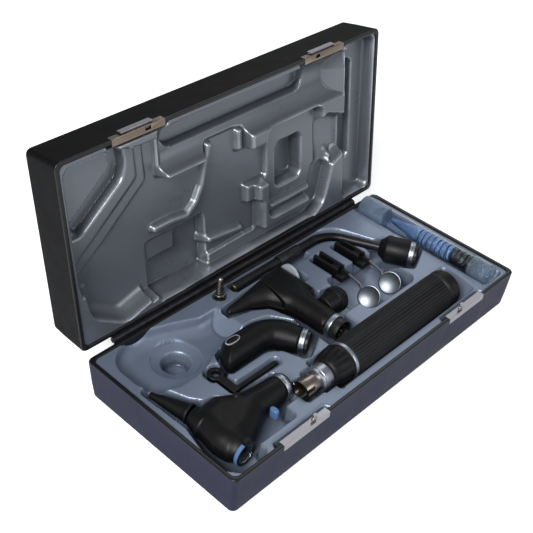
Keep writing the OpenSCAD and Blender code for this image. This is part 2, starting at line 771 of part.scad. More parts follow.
module arm_light_holder() {
    color(black) difference() {
        union() {
            rod(at(arm_low - 6 * arm_dir, arm_z), at(arm_low, arm_z), 7, ring_r + 1.5);
            rod(at(arm_low - 0.2 * arm_dir, arm_z), at(arm_ring_at, arm_z),
                ring_r + 1.6, ring_r + 1);
        }
        rod(at(arm_low - 8 * arm_dir, arm_z), at(arm_low + 0.05 * arm_dir, arm_z),
            arm_r + 0.05, arm_r + 0.05);
    }
}

module arm_light_ring() {
    color(silver) rod(at(arm_ring_at + 0.05 * arm_dir, arm_z),
        at(arm_ring_at + (0.05 + ring_l) * arm_dir, arm_z), ring_r + 0.6, ring_r + 0.6);
}

module arm_light_socket() {
    color(black) translate(at(arm_ring_at + (0.1 + ring_l) * arm_dir, arm_z))
        rotate([0, 90, -63]) socket(3.4);
}

// Throat mirrors

module mirror_clip(x) {
    color(black) difference() {
        translate([x - clip_w / 2, 15, deck_z - 6]) cube([clip_w, 31.5, 10.5]);
        translate([x - clip_w / 2 - 1, 41, deck_z + 3]) rotate([35, 0, 0])
            cube([clip_w + 2, 14, 10]);
    }
}
module mirror_clip_left() { mirror_clip(clip_xs[0]); }
module mirror_clip_right() { mirror_clip(clip_xs[1]); }

module throat_mirror(x, clip_x) {
    z = deck_z - 2;
    elbow = [clip_x + 4.5, -2, deck_z - 1];
    color(silver) {
        translate([x, mirror_y, z]) rotate([0, -mirror_tilt, 20])
            translate([0, 0, -0.9]) cylinder(h = 1.8, r = mirror_r);
        rod([clip_x + 3.6, 14.95, deck_z - 1], elbow, 0.9, 0.9);
        translate(elbow) sphere(r = 1);
        rod(elbow, [x - 1.1, mirror_y + 6, z + 1.7], 0.9, 0.9);
    }
}
module mirror_left() { throat_mirror(mirror_xs[0], clip_xs[0]); }
module mirror_right() { throat_mirror(mirror_xs[1], clip_xs[1]); }

// Spare lamp, standing in its hole

module lamp_base() {
    color(silver) translate([lamp_at.x, lamp_at.y, deck_z - lamp_sunk]) {
        cylinder(h = lamp_h * 0.4, r = lamp_r);
        translate([0, 0, lamp_h * 0.4 - eps]) cylinder(h = 1.4, r = lamp_r + 0.5);
        translate([0, 0, lamp_h * 0.4 + 1.3]) cylinder(h = lamp_h * 0.3, r = lamp_r - 0.8);
    }
}
module lamp_glass() {
    color(clear) translate([lamp_at.x, lamp_at.y, deck_z - lamp_sunk + lamp_h * 0.7 + 1.35]) {
        cylinder(h = lamp_h * 0.14, r = lamp_r - 1.2);
        translate([0, 0, lamp_h * 0.14]) cylinder(h = 2, r1 = lamp_r - 1.2, r2 = 1);
    }
}

// Tube of ear specula, lying along Y

module along_y(y) { translate([tube_x, y, tube_z]) rotate([90, 0, 0]) children(); }

module tube_barrel() {
    color(clear) along_y(tube_back) difference() {
        cylinder(h = tube_l, r = tube_r - 0.6);
        translate([0, 0, -1]) cylinder(h = tube_l + 2, r = tube_r - 1.5);
    }
}
module tube_cap(l) {
    difference() {
        cylinder(h = l, r = tube_r);
        translate([0, 0, 1.4]) cylinder(h = l, r = tube_r - 0.52);
    }
}
module tube_cap_back() {
    color(clear) translate([0, tube_back + 22, 0]) along_y(0) tube_cap(26);
}
module tube_cap_front() {
    color(clear) mirror([0, 1, 0]) translate([0, tube_l - tube_back + 13, 0]) along_y(0) tube_cap(17);
}

cone_l = 27;
pitch = 4.6;
module cup(l, r1, r2) {
    difference() {
        cylinder(h = l, r1 = r1, r2 = r2);
        translate([0, 0, -1]) cylinder(h = l + 2, r1 = r1 - 0.9, r2 = r2 - 0.9);
    }
}
module blue_specula() {
    color(blue) for (i = [0:specula - 1]) {
        y = 8.5 - i * pitch;
        along_y(y) cup(3.6, tube_r - 2, tube_r - 1.9);
    }
    color(blue) mirror([0, 1, 0]) translate([0, -8.6, 0]) along_y(0)
        cup(cone_l, tube_r - 2.4, 2);
}
module black_specula() {
    first = 8.5 - specula * pitch;
    color(black) for (i = [0:3]) along_y(first - i * pitch) cup(3.6, tube_r - 2, tube_r - 1.9);
}

// Bulb changing key

module bulb_key() {
    color(black) {
        translate([key_ring_at.x, key_ring_at.y, key_z - 2]) difference() {
            cylinder(h = 4.4, r = 6.2);
            translate([0, 0, -1]) cylinder(h = 7, r = 3.2);
        }
        translate([key_ring_at.x - 2.9, key_arm_y - 2, key_z - 2]) cube([5.8, 16, 4]);
        translate([key_ring_at.x, key_arm_y, key_z]) rotate([0, 90, 0]) cylinder(h = 41, r = 2);
    }
}

base_shell();
base_tray();
base_hinge_leaf();
hinge_pin();
base_rivets();
catch_plate_left();
catch_plate_right();
lid_shell();
lid_tray();
lid_hinge_leaf();
lid_rivets();
latch_plate_left();
latch_plate_right();
latch_slide_left();
latch_slide_right();
handle_grip();
handle_collar();
handle_trim_ring();
handle_ring();
handle_bayonet();
handle_contact_pin();
handle_cap();
battery_cells();
battery_spring();
otoscope_body();
otoscope_ring();
otoscope_socket();
ear_speculum();
otoscope_lens_frame();
otoscope_lens();
otoscope_lever();
nasal_body();
nasal_blade();
nasal_ring();
nasal_socket();
nasal_knob();
nasal_lens();
tongue_light_body();
tongue_light_tab();
tongue_light_ring();
tongue_light_socket();
arm_light_tube();
arm_light_sleeve();
arm_light_holder();
arm_light_ring();
arm_light_socket();
mirror_clip_left();
mirror_clip_right();
mirror_left();
mirror_right();
lamp_base();
lamp_glass();
tube_barrel();
tube_cap_front();
tube_cap_back();
blue_specula();
black_specula();
bulb_key();
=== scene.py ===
import math

import bmesh
import bpy
import numpy as np
from mathutils import Matrix, Quaternion, Vector


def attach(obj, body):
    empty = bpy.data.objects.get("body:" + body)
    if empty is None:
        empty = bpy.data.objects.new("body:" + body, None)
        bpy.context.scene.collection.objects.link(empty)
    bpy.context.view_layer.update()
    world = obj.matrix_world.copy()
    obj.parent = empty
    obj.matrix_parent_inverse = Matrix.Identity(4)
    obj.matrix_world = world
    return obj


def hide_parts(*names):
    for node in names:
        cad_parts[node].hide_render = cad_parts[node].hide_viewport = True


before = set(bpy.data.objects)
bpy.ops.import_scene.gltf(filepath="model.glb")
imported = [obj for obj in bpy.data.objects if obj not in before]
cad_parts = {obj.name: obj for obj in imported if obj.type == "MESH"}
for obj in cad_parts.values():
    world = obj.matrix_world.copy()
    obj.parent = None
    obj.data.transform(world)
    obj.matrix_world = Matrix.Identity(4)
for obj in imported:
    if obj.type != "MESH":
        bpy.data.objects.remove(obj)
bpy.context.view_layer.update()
mm = 0.001
xAxis, yAxis, zAxis = (1, 0, 0), (0, 1, 0), (0, 0, 1)
print("frame loaded with", len(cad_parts), "nodes")

# sizes of the case in mm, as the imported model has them
case = {"width": 320, "depth": 148, "baseHeight": 34.7, "lidHeight": 35.9, "floor": 2,
        "draft": 1.8, "deck": 33.2, "lidRim": 35.0, "lidDeck": 36.5, "trayX": 156.4,
        "trayY": 70.4, "trayPitch": 0.75, "trayFloor": 2.4, "latchX": 92.3,
        "openAngle": 96.74, "hingeY": 76.6, "hingeZ": 34.85}


def srgb(text):
    channels = [int(text[i:i + 2], 16) / 255 for i in (1, 3, 5)]
    return (*(c / 12.92 if c <= 0.04045 else ((c + 0.055) / 1.055) ** 2.4 for c in channels), 1.0)


def feed(tree, node, inputs):
    # an input is a plain value or the output of another node
    for key, value in inputs.items():
        if isinstance(value, bpy.types.NodeSocket):
            tree.links.new(value, node.inputs[key])
        else:
            node.inputs[key].default_value = value


def addNode(tree, kind, inputs=None, **settings):
    node = tree.nodes.new(kind)
    for key, value in settings.items():
        setattr(node, key, value)
    feed(tree, node, inputs or {})
    return node


def newGroup(name, inputs, outputs):
    # a shader group of number and vector inputs, with numbers as its outputs
    group = bpy.data.node_groups.new(name, "ShaderNodeTree")
    for label, value in inputs.items():
        kind = "NodeSocketFloat" if isinstance(value, float) else "NodeSocketVector"
        socket = group.interface.new_socket(label, in_out="INPUT", socket_type=kind)
        if value is not None:
            socket.default_value = value
    for label in outputs:
        group.interface.new_socket(label, in_out="OUTPUT", socket_type="NodeSocketFloat")
    return group, addNode(group, "NodeGroupInput").outputs, addNode(group, "NodeGroupOutput")


def mathNode(tree, kind, a, b, clamp=False):
    return addNode(tree, "ShaderNodeMath", {0: a, 1: b}, operation=kind,
                   use_clamp=clamp).outputs[0]


def weighted(tree, a, shareA, b, shareB, clamp=False):
    return mathNode(tree, "ADD", mathNode(tree, "MULTIPLY", a, shareA),
                    mathNode(tree, "MULTIPLY", b, shareB), clamp)


def rangeNode(tree, value, low, high, outLow=0.0, outHigh=1.0):
    return addNode(tree, "ShaderNodeMapRange", {
        "Value": value, "From Min": low, "From Max": high, "To Min": outLow,
        "To Max": outHigh}).outputs["Result"]


def mixColour(tree, factor, a, b):
    return addNode(tree, "ShaderNodeMix", {0: factor, 6: a, 7: b}, data_type="RGBA").outputs[2]


def noiseNode(tree, vector, scale, detail, roughness=0.5):
    return addNode(tree, "ShaderNodeTexNoise", {
        "Vector": vector, "Scale": scale, "Detail": detail, "Roughness": roughness}).outputs["Fac"]


def makeGrainGroup():
    # fine moulded grain: small cells under a soft cloud of tone
    group, given, out = newGroup("mouldGrain", {
        "Vector": None, "Grain Scale": 1500.0, "Cloud Scale": 60.0}, ("Height", "Tone"))
    place, scale = given["Vector"], given["Grain Scale"]
    cells = addNode(group, "ShaderNodeTexVoronoi", {"Vector": place, "Scale": scale},
                    feature="SMOOTH_F1").outputs["Distance"]
    fine = noiseNode(group, place, scale, 3.0)
    cloud = noiseNode(group, place, given["Cloud Scale"], 4.0, 0.6)
    feed(group, out, {"Height": weighted(group, cells, 0.7, fine, 0.5),
                      "Tone": weighted(group, cloud, 0.75, fine, 0.25, True)})
    return group


def makeWearAndPaintedLightGroup():
    # rubbed edges broken up by noise, which also serve as painted highlights, and a mask of the
    # creases for painted shade
    group, given, out = newGroup("edgeWearAndPaintedLight", {
        "Vector": None, "Scale": 300.0, "Amount": 0.5, "Edge Limit": 0.6}, ("Mask", "Crease"))
    bulge = addNode(group, "ShaderNodeNewGeometry").outputs["Pointiness"]
    edge = rangeNode(group, bulge, 0.51, given["Edge Limit"])
    patch = rangeNode(group, noiseNode(group, given["Vector"], given["Scale"], 3.0, 0.55),
                      0.3, 0.6, 0.35)
    wearAndHighlight = mathNode(group, "MULTIPLY", edge, patch)
    feed(group, out, {"Mask": mathNode(group, "MULTIPLY", wearAndHighlight, given["Amount"], True),
                      "Crease": rangeNode(group, bulge, 0.495, 0.46)})
    return group


def makeBrushGroup():
    # lathe or brush lines: noise drawn out along one direction
    group, given, out = newGroup("brushLines", {
        "Vector": None, "Scale": 900.0, "Stretch": (1.0, 0.04, 0.04)}, ("Height", "Tone"))
    drawn = addNode(group, "ShaderNodeVectorMath", {0: given["Vector"], 1: given["Stretch"]},
                    operation="MULTIPLY").outputs[0]
    lines = noiseNode(group, drawn, given["Scale"], 3.0, 0.6)
    smudge = noiseNode(group, given["Vector"], 90.0, 3.0, 0.6)
    feed(group, out, {"Height": lines, "Tone": weighted(group, lines, 0.6, smudge, 0.4, True)})
    return group


grainGroup, wearAndPaintedLightGroup, brushGroup = makeGrainGroup(), makeWearAndPaintedLightGroup(), makeBrushGroup()
grainDepth = 0.0003


def makeFinish(name, colour, rough, toneRange=0.12, metallic=0.0, grain=1500.0, cloud=60.0,
               bump=0.15, wearAndHighlightAmount=0.4, wearAndHighlightColour=None, brushed=None, specular=0.5,
               roughRange=0.08, transmission=0.0, ior=1.46, edgeLimit=0.6, crease=0.3,
               wearAndHighlightScale=300.0):
    material = bpy.data.materials.new(name)
    material.use_nodes = True
    tree = material.node_tree
    place = addNode(tree, "ShaderNodeTexCoord").outputs["Object"]
    scales = {"Grain Scale": grain, "Cloud Scale": cloud}
    if brushed:
        scales = {"Scale": grain, "Stretch": brushed}
    texture = addNode(tree, "ShaderNodeGroup", {"Vector": place, **scales},
                      node_tree=brushGroup if brushed else grainGroup).outputs
    wearAndPaintedLightMasks = addNode(tree, "ShaderNodeGroup", {
        "Vector": place, "Amount": wearAndHighlightAmount, "Scale": wearAndHighlightScale, "Edge Limit": edgeLimit},
        node_tree=wearAndPaintedLightGroup).outputs
    base = srgb(colour)

    def tinted(factor, lift=0.0):
        return (*(min(1, c * factor + lift) for c in base[:3]), 1.0)

    toned = mixColour(tree, texture["Tone"], tinted(1 - toneRange), tinted(1 + toneRange))
    # painted shade: concave creases darken towards a third of the colour, by the crease amount
    creaseShade = mathNode(tree, "MULTIPLY", wearAndPaintedLightMasks["Crease"], crease)
    # edge marks: real wear on most finishes, painted highlights along the trays' fillets
    wearAndHighlight = srgb(wearAndHighlightColour) if wearAndHighlightColour else tinted(1.6, 0.02)
    relief = addNode(tree, "ShaderNodeBump", {
        "Strength": bump, "Distance": grainDepth, "Height": texture["Height"]})
    feed(tree, tree.nodes["Principled BSDF"], {
        "Base Color": mixColour(tree, wearAndPaintedLightMasks["Mask"],
                                mixColour(tree, creaseShade, toned, tinted(0.3)), wearAndHighlight),
        "Roughness": rangeNode(tree, texture["Tone"], 0.2, 0.8, rough - roughRange,
                               rough + roughRange),
        "Normal": relief.outputs["Normal"], "Metallic": metallic,
        "Specular IOR Level": specular, "Transmission Weight": transmission, "IOR": ior})
    return material


finishes = {
    "baseShell": makeFinish("baseLeatherette", "#1d1f37", 0.56, 0.2, grain=1100, bump=0.5,
                            wearAndHighlightAmount=0.3, specular=0.25),
    "lidShell": makeFinish("lidLeatherette", "#050506", 0.6, 0.2, grain=1100, bump=0.5,
                           wearAndHighlightAmount=0.3, wearAndHighlightColour="#1a1a1c", specular=0.12),
    "rim": makeFinish("rimBlack", "#0a0a0b", 0.36, 0.2, grain=900, bump=0.1,
                      wearAndHighlightColour="#303034"),
    # on both trays the bright edge marks are painted highlights along the fillets
    "baseTray": makeFinish("baseTrayPlastic", "#737e90", 0.36, 0.06, 0.45, 1700, 35, 0.05, 0.3,
                           "#a4aebb", edgeLimit=0.58, crease=0.8, wearAndHighlightScale=40),
    # the lid tray is the base tray's plastic, painted a little darker as painted shade on the
    # upright lid
    "lidTray": makeFinish("lidTrayPlastic", "#71757c", 0.31, 0.07, 0.6, 1700, 35, 0.05, 0.75,
                          "#c6cbd2", edgeLimit=0.58, crease=0.6, wearAndHighlightScale=40),
    "blackPlastic": makeFinish("headPlastic", "#080809", 0.46, 0.2, grain=1600, bump=0.2,
                               wearAndHighlightColour="#2c2c30", specular=0.28),
    "gripRubber": makeFinish("gripRubber", "#09090a", 0.46, 0.2, grain=1400,
                             wearAndHighlightColour="#2a2a2e", specular=0.4),
    "blackMetal": makeFinish("blackMetal", "#0b0b0d", 0.40, 0.2, 0.4, 1300, bump=0.1, wearAndHighlightAmount=0.6,
                             wearAndHighlightColour="#55555a"),
    "hinge": makeFinish("hingeBlack", "#08080a", 0.34, 0.2, 0.4, 1200, bump=0.1, wearAndHighlightAmount=0.5,
                        wearAndHighlightColour="#3a3a40"),
    "steel": makeFinish("turnedSteel", "#a9afb8", 0.36, 0.10, 1.0, 700, bump=0.03, wearAndHighlightAmount=0.3,
                        brushed=(0.05, 1.0, 1.0), crease=0.6),
    "nickel": makeFinish("pressedNickel", "#98969c", 0.34, 0.10, 1.0, 500, bump=0.03, wearAndHighlightAmount=0.3,
                         brushed=(0.06, 1.0, 1.0)),
    "lidNickel": makeFinish("lidNickel", "#7b6c5f", 0.26, 0.16, 1.0, 500, bump=0.04, wearAndHighlightAmount=0.6,
                            wearAndHighlightColour="#d8d0c8", brushed=(0.06, 1.0, 1.0)),
    "warmNickel": makeFinish("warmNickel", "#8f867c", 0.28, 0.2, 1.0, 700, bump=0.04,
                             brushed=(0.05, 1.0, 1.0), crease=0.8),
    "brass": makeFinish("contactBrass", "#a08a58", 0.30, 0.12, 1.0, 900, bump=0.05),
    "blueAccent": makeFinish("blueAccent", "#4c6a94", 0.40, 0.08, bump=0.06, wearAndHighlightAmount=0.3),
    "blueSpecula": makeFinish("blueSpecula", "#4b6284", 0.34, 0.12, grain=900, bump=0.05,
                              wearAndHighlightColour="#86a3cc"),
    "blackSpecula": makeFinish("blackSpecula", "#121317", 0.32, 0.2, grain=900, bump=0.05),
    "clear": makeFinish("clearPlastic", "#eaf1f8", 0.22, 0.03, grain=500, bump=0.05, wearAndHighlightAmount=0.0,
                        roughRange=0.06, transmission=1.0, ior=1.16, crease=0.0),
    "frosted": makeFinish("frostedPlastic", "#d2dfec", 0.30, 0.04, grain=500, bump=0.05,
                          wearAndHighlightAmount=0.0, transmission=0.93, ior=1.22, crease=0.0),
    "paleLens": makeFinish("paleLens", "#b4bbc4", 0.22, 0.05, grain=500, bump=0.03, wearAndHighlightAmount=0.2,
                           transmission=0.3, crease=0.0),
    "lens": makeFinish("lensGlass", "#e6edf5", 0.06, 0.02, grain=400, bump=0.01, wearAndHighlightAmount=0.0,
                       roughRange=0.02, transmission=1.0, ior=1.45, crease=0.0),
    "mirror": makeFinish("mirrorSteel", "#6b7077", 0.34, 0.12, 1.0, 600, bump=0.03, wearAndHighlightAmount=0.3),
    "paleTab": makeFinish("paleTab", "#8d939b", 0.40, 0.1, grain=900, bump=0.05, wearAndHighlightAmount=0.2),
    "cell": makeFinish("cellJacket", "#b08a3c", 0.35, 0.1, 0.3, 800, bump=0.05),
}
print("materials made")


# mesh helpers; lengths are in mm until makeMesh


def linked(name, data):
    obj = bpy.data.objects.new(name, data)
    bpy.context.scene.collection.objects.link(obj)
    return obj


def shade(mesh, smoothAngle):
    mesh.polygons.foreach_set("use_smooth", [True] * len(mesh.polygons))
    if smoothAngle:
        mesh.set_sharp_from_angle(angle=math.radians(smoothAngle))
    mesh.update()


def makeMesh(name, points, faces, turn=None, smoothAngle=35.0):
    mesh = bpy.data.meshes.new(name)
    mesh.from_pydata([tuple(p) for p in points], [], [tuple(f) for f in faces])
    work = bmesh.new()
    work.from_mesh(mesh)
    bmesh.ops.remove_doubles(work, verts=work.verts, dist=1e-5)
    bmesh.ops.recalc_face_normals(work, faces=work.faces)
    work.to_mesh(mesh)
    work.free()
    mesh.transform(Matrix.Scale(mm, 4))
    if turn is not None:
        mesh.transform(turn)
    shade(mesh, smoothAngle)
    return mesh


def makePiece(name, mesh, body, finish, nodes=()):
    obj = linked(name, mesh)
    mesh.materials.clear()
    mesh.materials.append(finishes[finish])
    if nodes:
        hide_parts(*nodes)
    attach(obj, body)
    return obj


def keepNode(node, finish, bevel=0.0):
    # a CAD node whose shape is right: it gets a material, and its edges are eased
    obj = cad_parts[node]
    obj.data.materials.clear()
    obj.data.materials.append(finishes[finish])
    if bevel:
        obj.modifiers.new("weld", "WELD").merge_threshold = 1e-6
        ease = obj.modifiers.new("ease", "BEVEL")
        ease.width, ease.segments = bevel * mm, 2
        ease.limit_method, ease.angle_limit = "ANGLE", math.radians(40)
        ease.use_clamp_overlap, ease.harden_normals = True, False


def turns(count):
    return [2 * math.pi * k / count for k in range(count)]


def frameAlong(start, direction):
    # x of the result runs along direction, z stays as near up as it can
    x = Vector(direction).normalized()
    up = Vector(zAxis) if abs(x.z) < 0.9 else Vector(yAxis)
    y = up.cross(x).normalized()
    turn = Matrix((x, y, x.cross(y))).transposed().to_4x4()
    turn.translation = Vector(start) * mm
    return turn


def ringMesh(name, loops, capped=False, around=False, turn=None, smoothAngle=35.0):
    # skins loops of points; one point alone is a pole, around joins the last to the first
    rings, points, faces = [], [], []
    for loop in loops:
        rings.append(range(len(points), len(points) + len(loop)))
        points += loop
    for a, b in zip(rings, rings[1:] + rings[:around]):
        count = max(len(a), len(b))
        for k in range(count):
            n = (k + 1) % count
            if len(a) == 1:
                faces.append((a[0], b[k], b[n]))
            elif len(b) == 1:
                faces.append((a[k], b[0], a[n]))
            else:
                faces.append((a[k], b[k], b[n], a[n]))
    if capped:
        faces += [tuple(reversed(rings[0])), tuple(rings[-1])]
    return makeMesh(name, points, faces, turn, smoothAngle)


def latheMesh(name, profile, start, direction, steps=64, shape=None, ring=False):
    # profile is (distance, radius) along direction; a radius of 0 closes the end
    loops = []
    for along, radius in profile:
        loop = []
        for angle in turns(steps if radius > 0 else 1):
            r = shape(along, radius, angle) if shape else radius
            loop.append((along, r * math.cos(angle), r * math.sin(angle)))
        loops.append(loop)
    return ringMesh(name, loops, around=ring, turn=frameAlong(start, direction))


def turnedPiece(name, profile, start, direction, body, finish, nodes=(), steps=64, shape=None,
                ring=True):
    mesh = latheMesh(name, profile, start, direction, steps, shape, ring)
    makePiece(name, mesh, body, finish, nodes)


def roundRod(length, radius, edge):
    # a solid rod's profile with rounded ends
    curve = [(edge * (1 - math.sin(t)), radius - edge * (1 - math.cos(t)))
             for t in (math.pi / 8 * k for k in range(5))]
    return [(0, 0), *curve[::-1], *((length - a, r) for a, r in curve), (length, 0)]


def collarRing(length, outer, inner, edge=0.35, groove=0.0):
    # a ring's closed section: out along the outside, back along the bore
    outside = [(0, outer - edge), (edge * 0.3, outer - edge * 0.3), (edge, outer)]
    if groove:
        outside += [(length * 0.42, outer), (length * 0.47, outer - groove),
                    (length * 0.53, outer - groove), (length * 0.58, outer)]
    outside += [(length - edge, outer), (length - edge * 0.3, outer - edge * 0.3),
                (length, outer - edge)]
    return outside + [(length, inner + 0.2), (length - 0.2, inner), (0.2, inner),
                      (0, inner + 0.2)]


def sweepMesh(name, path, radius, steps):
    # a round bar along a path, with flat ends
    loops = []
    for i, p in enumerate(path):
        ahead = (path[min(i + 1, len(path) - 1)] - path[max(i - 1, 0)]).normalized()
        side = ahead.cross(Vector(zAxis)).normalized()
        up = side.cross(ahead)
        loops.append([p + side * (radius * math.cos(a)) + up * (radius * math.sin(a))
                      for a in turns(steps)])
    return ringMesh(name, loops, capped=True)


def bentPath(start, corner, end, radius, steps):
    # two straight runs joined by an arc
    a, b = (start - corner).normalized(), (end - corner).normalized()
    half = math.acos(max(-1, min(1, a.dot(b)))) / 2
    back = radius / math.tan(half)
    centre = corner + (a + b).normalized() * (radius / math.sin(half))
    first, last = corner + a * back - centre, corner + b * back - centre
    return [start, *(centre + first.slerp(last, k / steps) for k in range(steps + 1)), end]


def nodeMesh(node):
    # a merged copy of a CAD node's mesh
    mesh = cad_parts[node].data.copy()
    work = bmesh.new()
    work.from_mesh(mesh)
    bmesh.ops.remove_doubles(work, verts=work.verts, dist=1e-6)
    work.to_mesh(mesh)
    work.free()
    return mesh


def boxMesh(x0, x1, y0, y1, z0, z1, turn=None):
    points = [(x, y, z) for x in (x0, x1) for y in (y0, y1) for z in (z0, z1)]
    faces = [(0, 1, 3, 2), (4, 6, 7, 5), (0, 4, 5, 1), (2, 3, 7, 6), (0, 2, 6, 4), (1, 5, 7, 3)]
    return makeMesh("box", points, faces, turn)


def evaluated(name, mesh, modify=None, bores=()):
    # the plain mesh after its modifiers, with the bores taken out of it
    obj = linked(name + "Work", mesh)
    if modify:
        modify(obj)
    cutters = [linked(name + "Bore", bore) for bore in bores]
    for cutter in cutters:
        cut = obj.modifiers.new("bore", "BOOLEAN")
        cut.operation, cut.object = "DIFFERENCE", cutter
    depsgraph = bpy.context.evaluated_depsgraph_get()
    result = bpy.data.meshes.new_from_object(obj.evaluated_get(depsgraph))
    for old in (obj, *cutters):
        bpy.data.objects.remove(old)
    result.name = name
    return result


def cutMesh(mesh, bores, smoothAngle):
    result = evaluated(mesh.name, mesh, bores=bores)
    shade(result, smoothAngle)
    return result


def softMesh(name, meshes, voxel, smooth, bores=()):
    # fuses overlapping solids into one moulded body with soft fillets
    joined = bmesh.new()
    for mesh in meshes:
        joined.from_mesh(mesh)
    merged = bpy.data.meshes.new(name + "Parts")
    joined.to_mesh(merged)
    joined.free()

    def modify(obj):
        remesh = obj.modifiers.new("voxels", "REMESH")
        remesh.mode, remesh.voxel_size = "VOXEL", voxel * mm
        soften = obj.modifiers.new("soften", "SMOOTH")
        soften.factor, soften.iterations = 0.5, smooth

    result = evaluated(name, merged, modify, bores)
    shade(result, 50 if bores else None)
    return result


def makeArrayTree(name, around):
    # repeats a piece along a line, or round the x axis
    tree = bpy.data.node_groups.new(name, "GeometryNodeTree")
    spread = ("Start Angle", "Float") if around else ("Step", "Vector")
    for label, kind in (("Geometry", "Geometry"), ("Count", "Int"), spread,
                        ("Finish", "Material")):
        tree.interface.new_socket(label, in_out="INPUT", socket_type="NodeSocket" + kind)
    tree.interface.new_socket("Geometry", in_out="OUTPUT", socket_type="NodeSocketGeometry")
    given = addNode(tree, "NodeGroupInput").outputs
    step, turning = (0, 0, 0), {}
    if around:
        slice = mathNode(tree, "DIVIDE", 2 * math.pi, given["Count"])
        index = addNode(tree, "GeometryNodeInputIndex").outputs[0]
        angle = addNode(tree, "ShaderNodeMath", {0: index, 1: slice, 2: given["Start Angle"]},
                        operation="MULTIPLY_ADD").outputs[0]
        euler = addNode(tree, "ShaderNodeCombineXYZ", {"X": angle}).outputs[0]
        turning = {"Rotation": addNode(tree, "FunctionNodeEulerToRotation",
                                       {0: euler}).outputs[0]}
    else:
        step = given["Step"]
    line = addNode(tree, "GeometryNodeMeshLine", {"Count": given["Count"], "Offset": step},
                   mode="OFFSET").outputs[0]
    copies = addNode(tree, "GeometryNodeInstanceOnPoints", {
        "Points": line, "Instance": given["Geometry"], **turning}).outputs[0]
    real = addNode(tree, "GeometryNodeRealizeInstances", {0: copies}).outputs[0]
    painted = addNode(tree, "GeometryNodeSetMaterial", {
        "Geometry": real, "Material": given["Finish"]}).outputs[0]
    addNode(tree, "NodeGroupOutput", {0: painted})
    return tree


lineTree = makeArrayTree("repeatAlongLine", False)
roundTree = makeArrayTree("repeatRoundAxis", True)


def repeated(name, mesh, tree, values, turn):
    # runs the tree on one piece and returns the plain mesh
    def modify(obj):
        modifier = obj.modifiers.new("repeat", "NODES")
        modifier.node_group = tree
        for item in tree.interface.items_tree:
            if item.in_out == "INPUT" and item.name in values:
                modifier[item.identifier] = values[item.name]

    result = evaluated(name, mesh, modify)
    result.transform(turn)
    result.update()
    return result


# outlines: each corner is (x, y, radius), anticlockwise


def roundedLoop(points):
    loop = []
    for i, (x, y, radius) in enumerate(points):
        tip = np.array((x, y), float)
        d1, d2 = tip - points[i - 1][:2], points[(i + 1) % len(points)][:2] - tip
        d1, d2 = d1 / np.linalg.norm(d1), d2 / np.linalg.norm(d2)
        turn = math.atan2(d1[0] * d2[1] - d1[1] * d2[0], d1 @ d2)
        radius = max(radius, 0.4)
        arm = math.copysign(radius, turn) * np.array([d1[1], -d1[0]])
        centre = tip - radius * math.tan(abs(turn) / 2) * d1 - arm
        steps = max(2, math.ceil(abs(turn) / math.radians(12)))
        for k in range(steps + 1):
            c, s = math.cos(turn * k / steps), math.sin(turn * k / steps)
            loop.append(centre + [arm[0] * c - arm[1] * s, arm[0] * s + arm[1] * c])
    return np.array(loop)


def boxLoop(x0, x1, y0, y1, r):
    return [(x0, y0, r), (x1, y0, r), (x1, y1, r), (x0, y1, r)]


def circleLoop(centre, radius, steps):
    return np.array([(centre[0] + radius * math.cos(a), centre[1] + radius * math.sin(a))
                     for a in turns(steps)])


def bandLoop(path, width, r=2.0):
    # an outline of even width along a line of points
    path = np.array(path, float)
    ahead = np.gradient(path, axis=0)
    ahead /= np.linalg.norm(ahead, axis=1)[:, None]
    side = np.stack([ahead[:, 1], -ahead[:, 0]], 1) * width / 2
    loop = [(*p, r) for p in path + side] + [(*p, r) for p in (path - side)[::-1]]
    area = sum(a[0] * b[1] - b[0] * a[1] for a, b in zip(loop, loop[1:] + loop[:1]))
    return loop if area > 0 else loop[::-1]


def insideDistance(px, py, loop):
    # distance to the outline, positive inside it
    best = np.full(px.shape, 1e9)
    inside = np.zeros(px.shape, bool)
    for (ax, ay), (bx, by) in zip(loop, np.roll(loop, -1, 0)):
        ex, ey = bx - ax, by - ay
        length = ex * ex + ey * ey
        if length < 1e-12:
            continue
        t = np.clip(((px - ax) * ex + (py - ay) * ey) / length, 0, 1)
        best = np.minimum(best, (px - ax - t * ex) ** 2 + (py - ay - t * ey) ** 2)
        if ay != by:
            crosses = (ay > py) != (by > py)
            inside ^= crosses & (px < ax + (py - ay) / (by - ay) * ex)
    return np.where(inside, 1, -1) * np.sqrt(best)


def ontoLoop(x, y, d, loop, level=0.0):
    # moves points that lie d from the line at that level onto it
    step = 0.02
    gx = (insideDistance(x + step, y, loop) - level - d) / step
    gy = (insideDistance(x, y + step, loop) - level - d) / step
    size = np.maximum(gx * gx + gy * gy, 0.3)
    return x - d * gx / size, y - d * gy / size


def swell(d, height, spread):
    # a quarter-round rise from the edge
    return height * np.sqrt(np.clip(1 - (1 - np.clip(d, 0, spread) / spread) ** 2, 0, 1))


def roundTrough(offset, half, depth):
    return depth * np.sqrt(np.clip(1 - (offset / half) ** 2, 0, 1))


def wallDepth(d, depth, wall, edge):
    # the drawn sheet's section: rounded lip, wall, rounded foot
    edge = min(edge, depth * 0.45)
    knots = [-wall - edge, -wall - edge * 0.4, -wall, 0.0, edge * 0.5, edge * 1.1]
    heights = [0, edge * 0.1, edge * 0.38, depth - edge * 0.38, depth - edge * 0.1, depth]
    return np.interp(d, knots, heights)


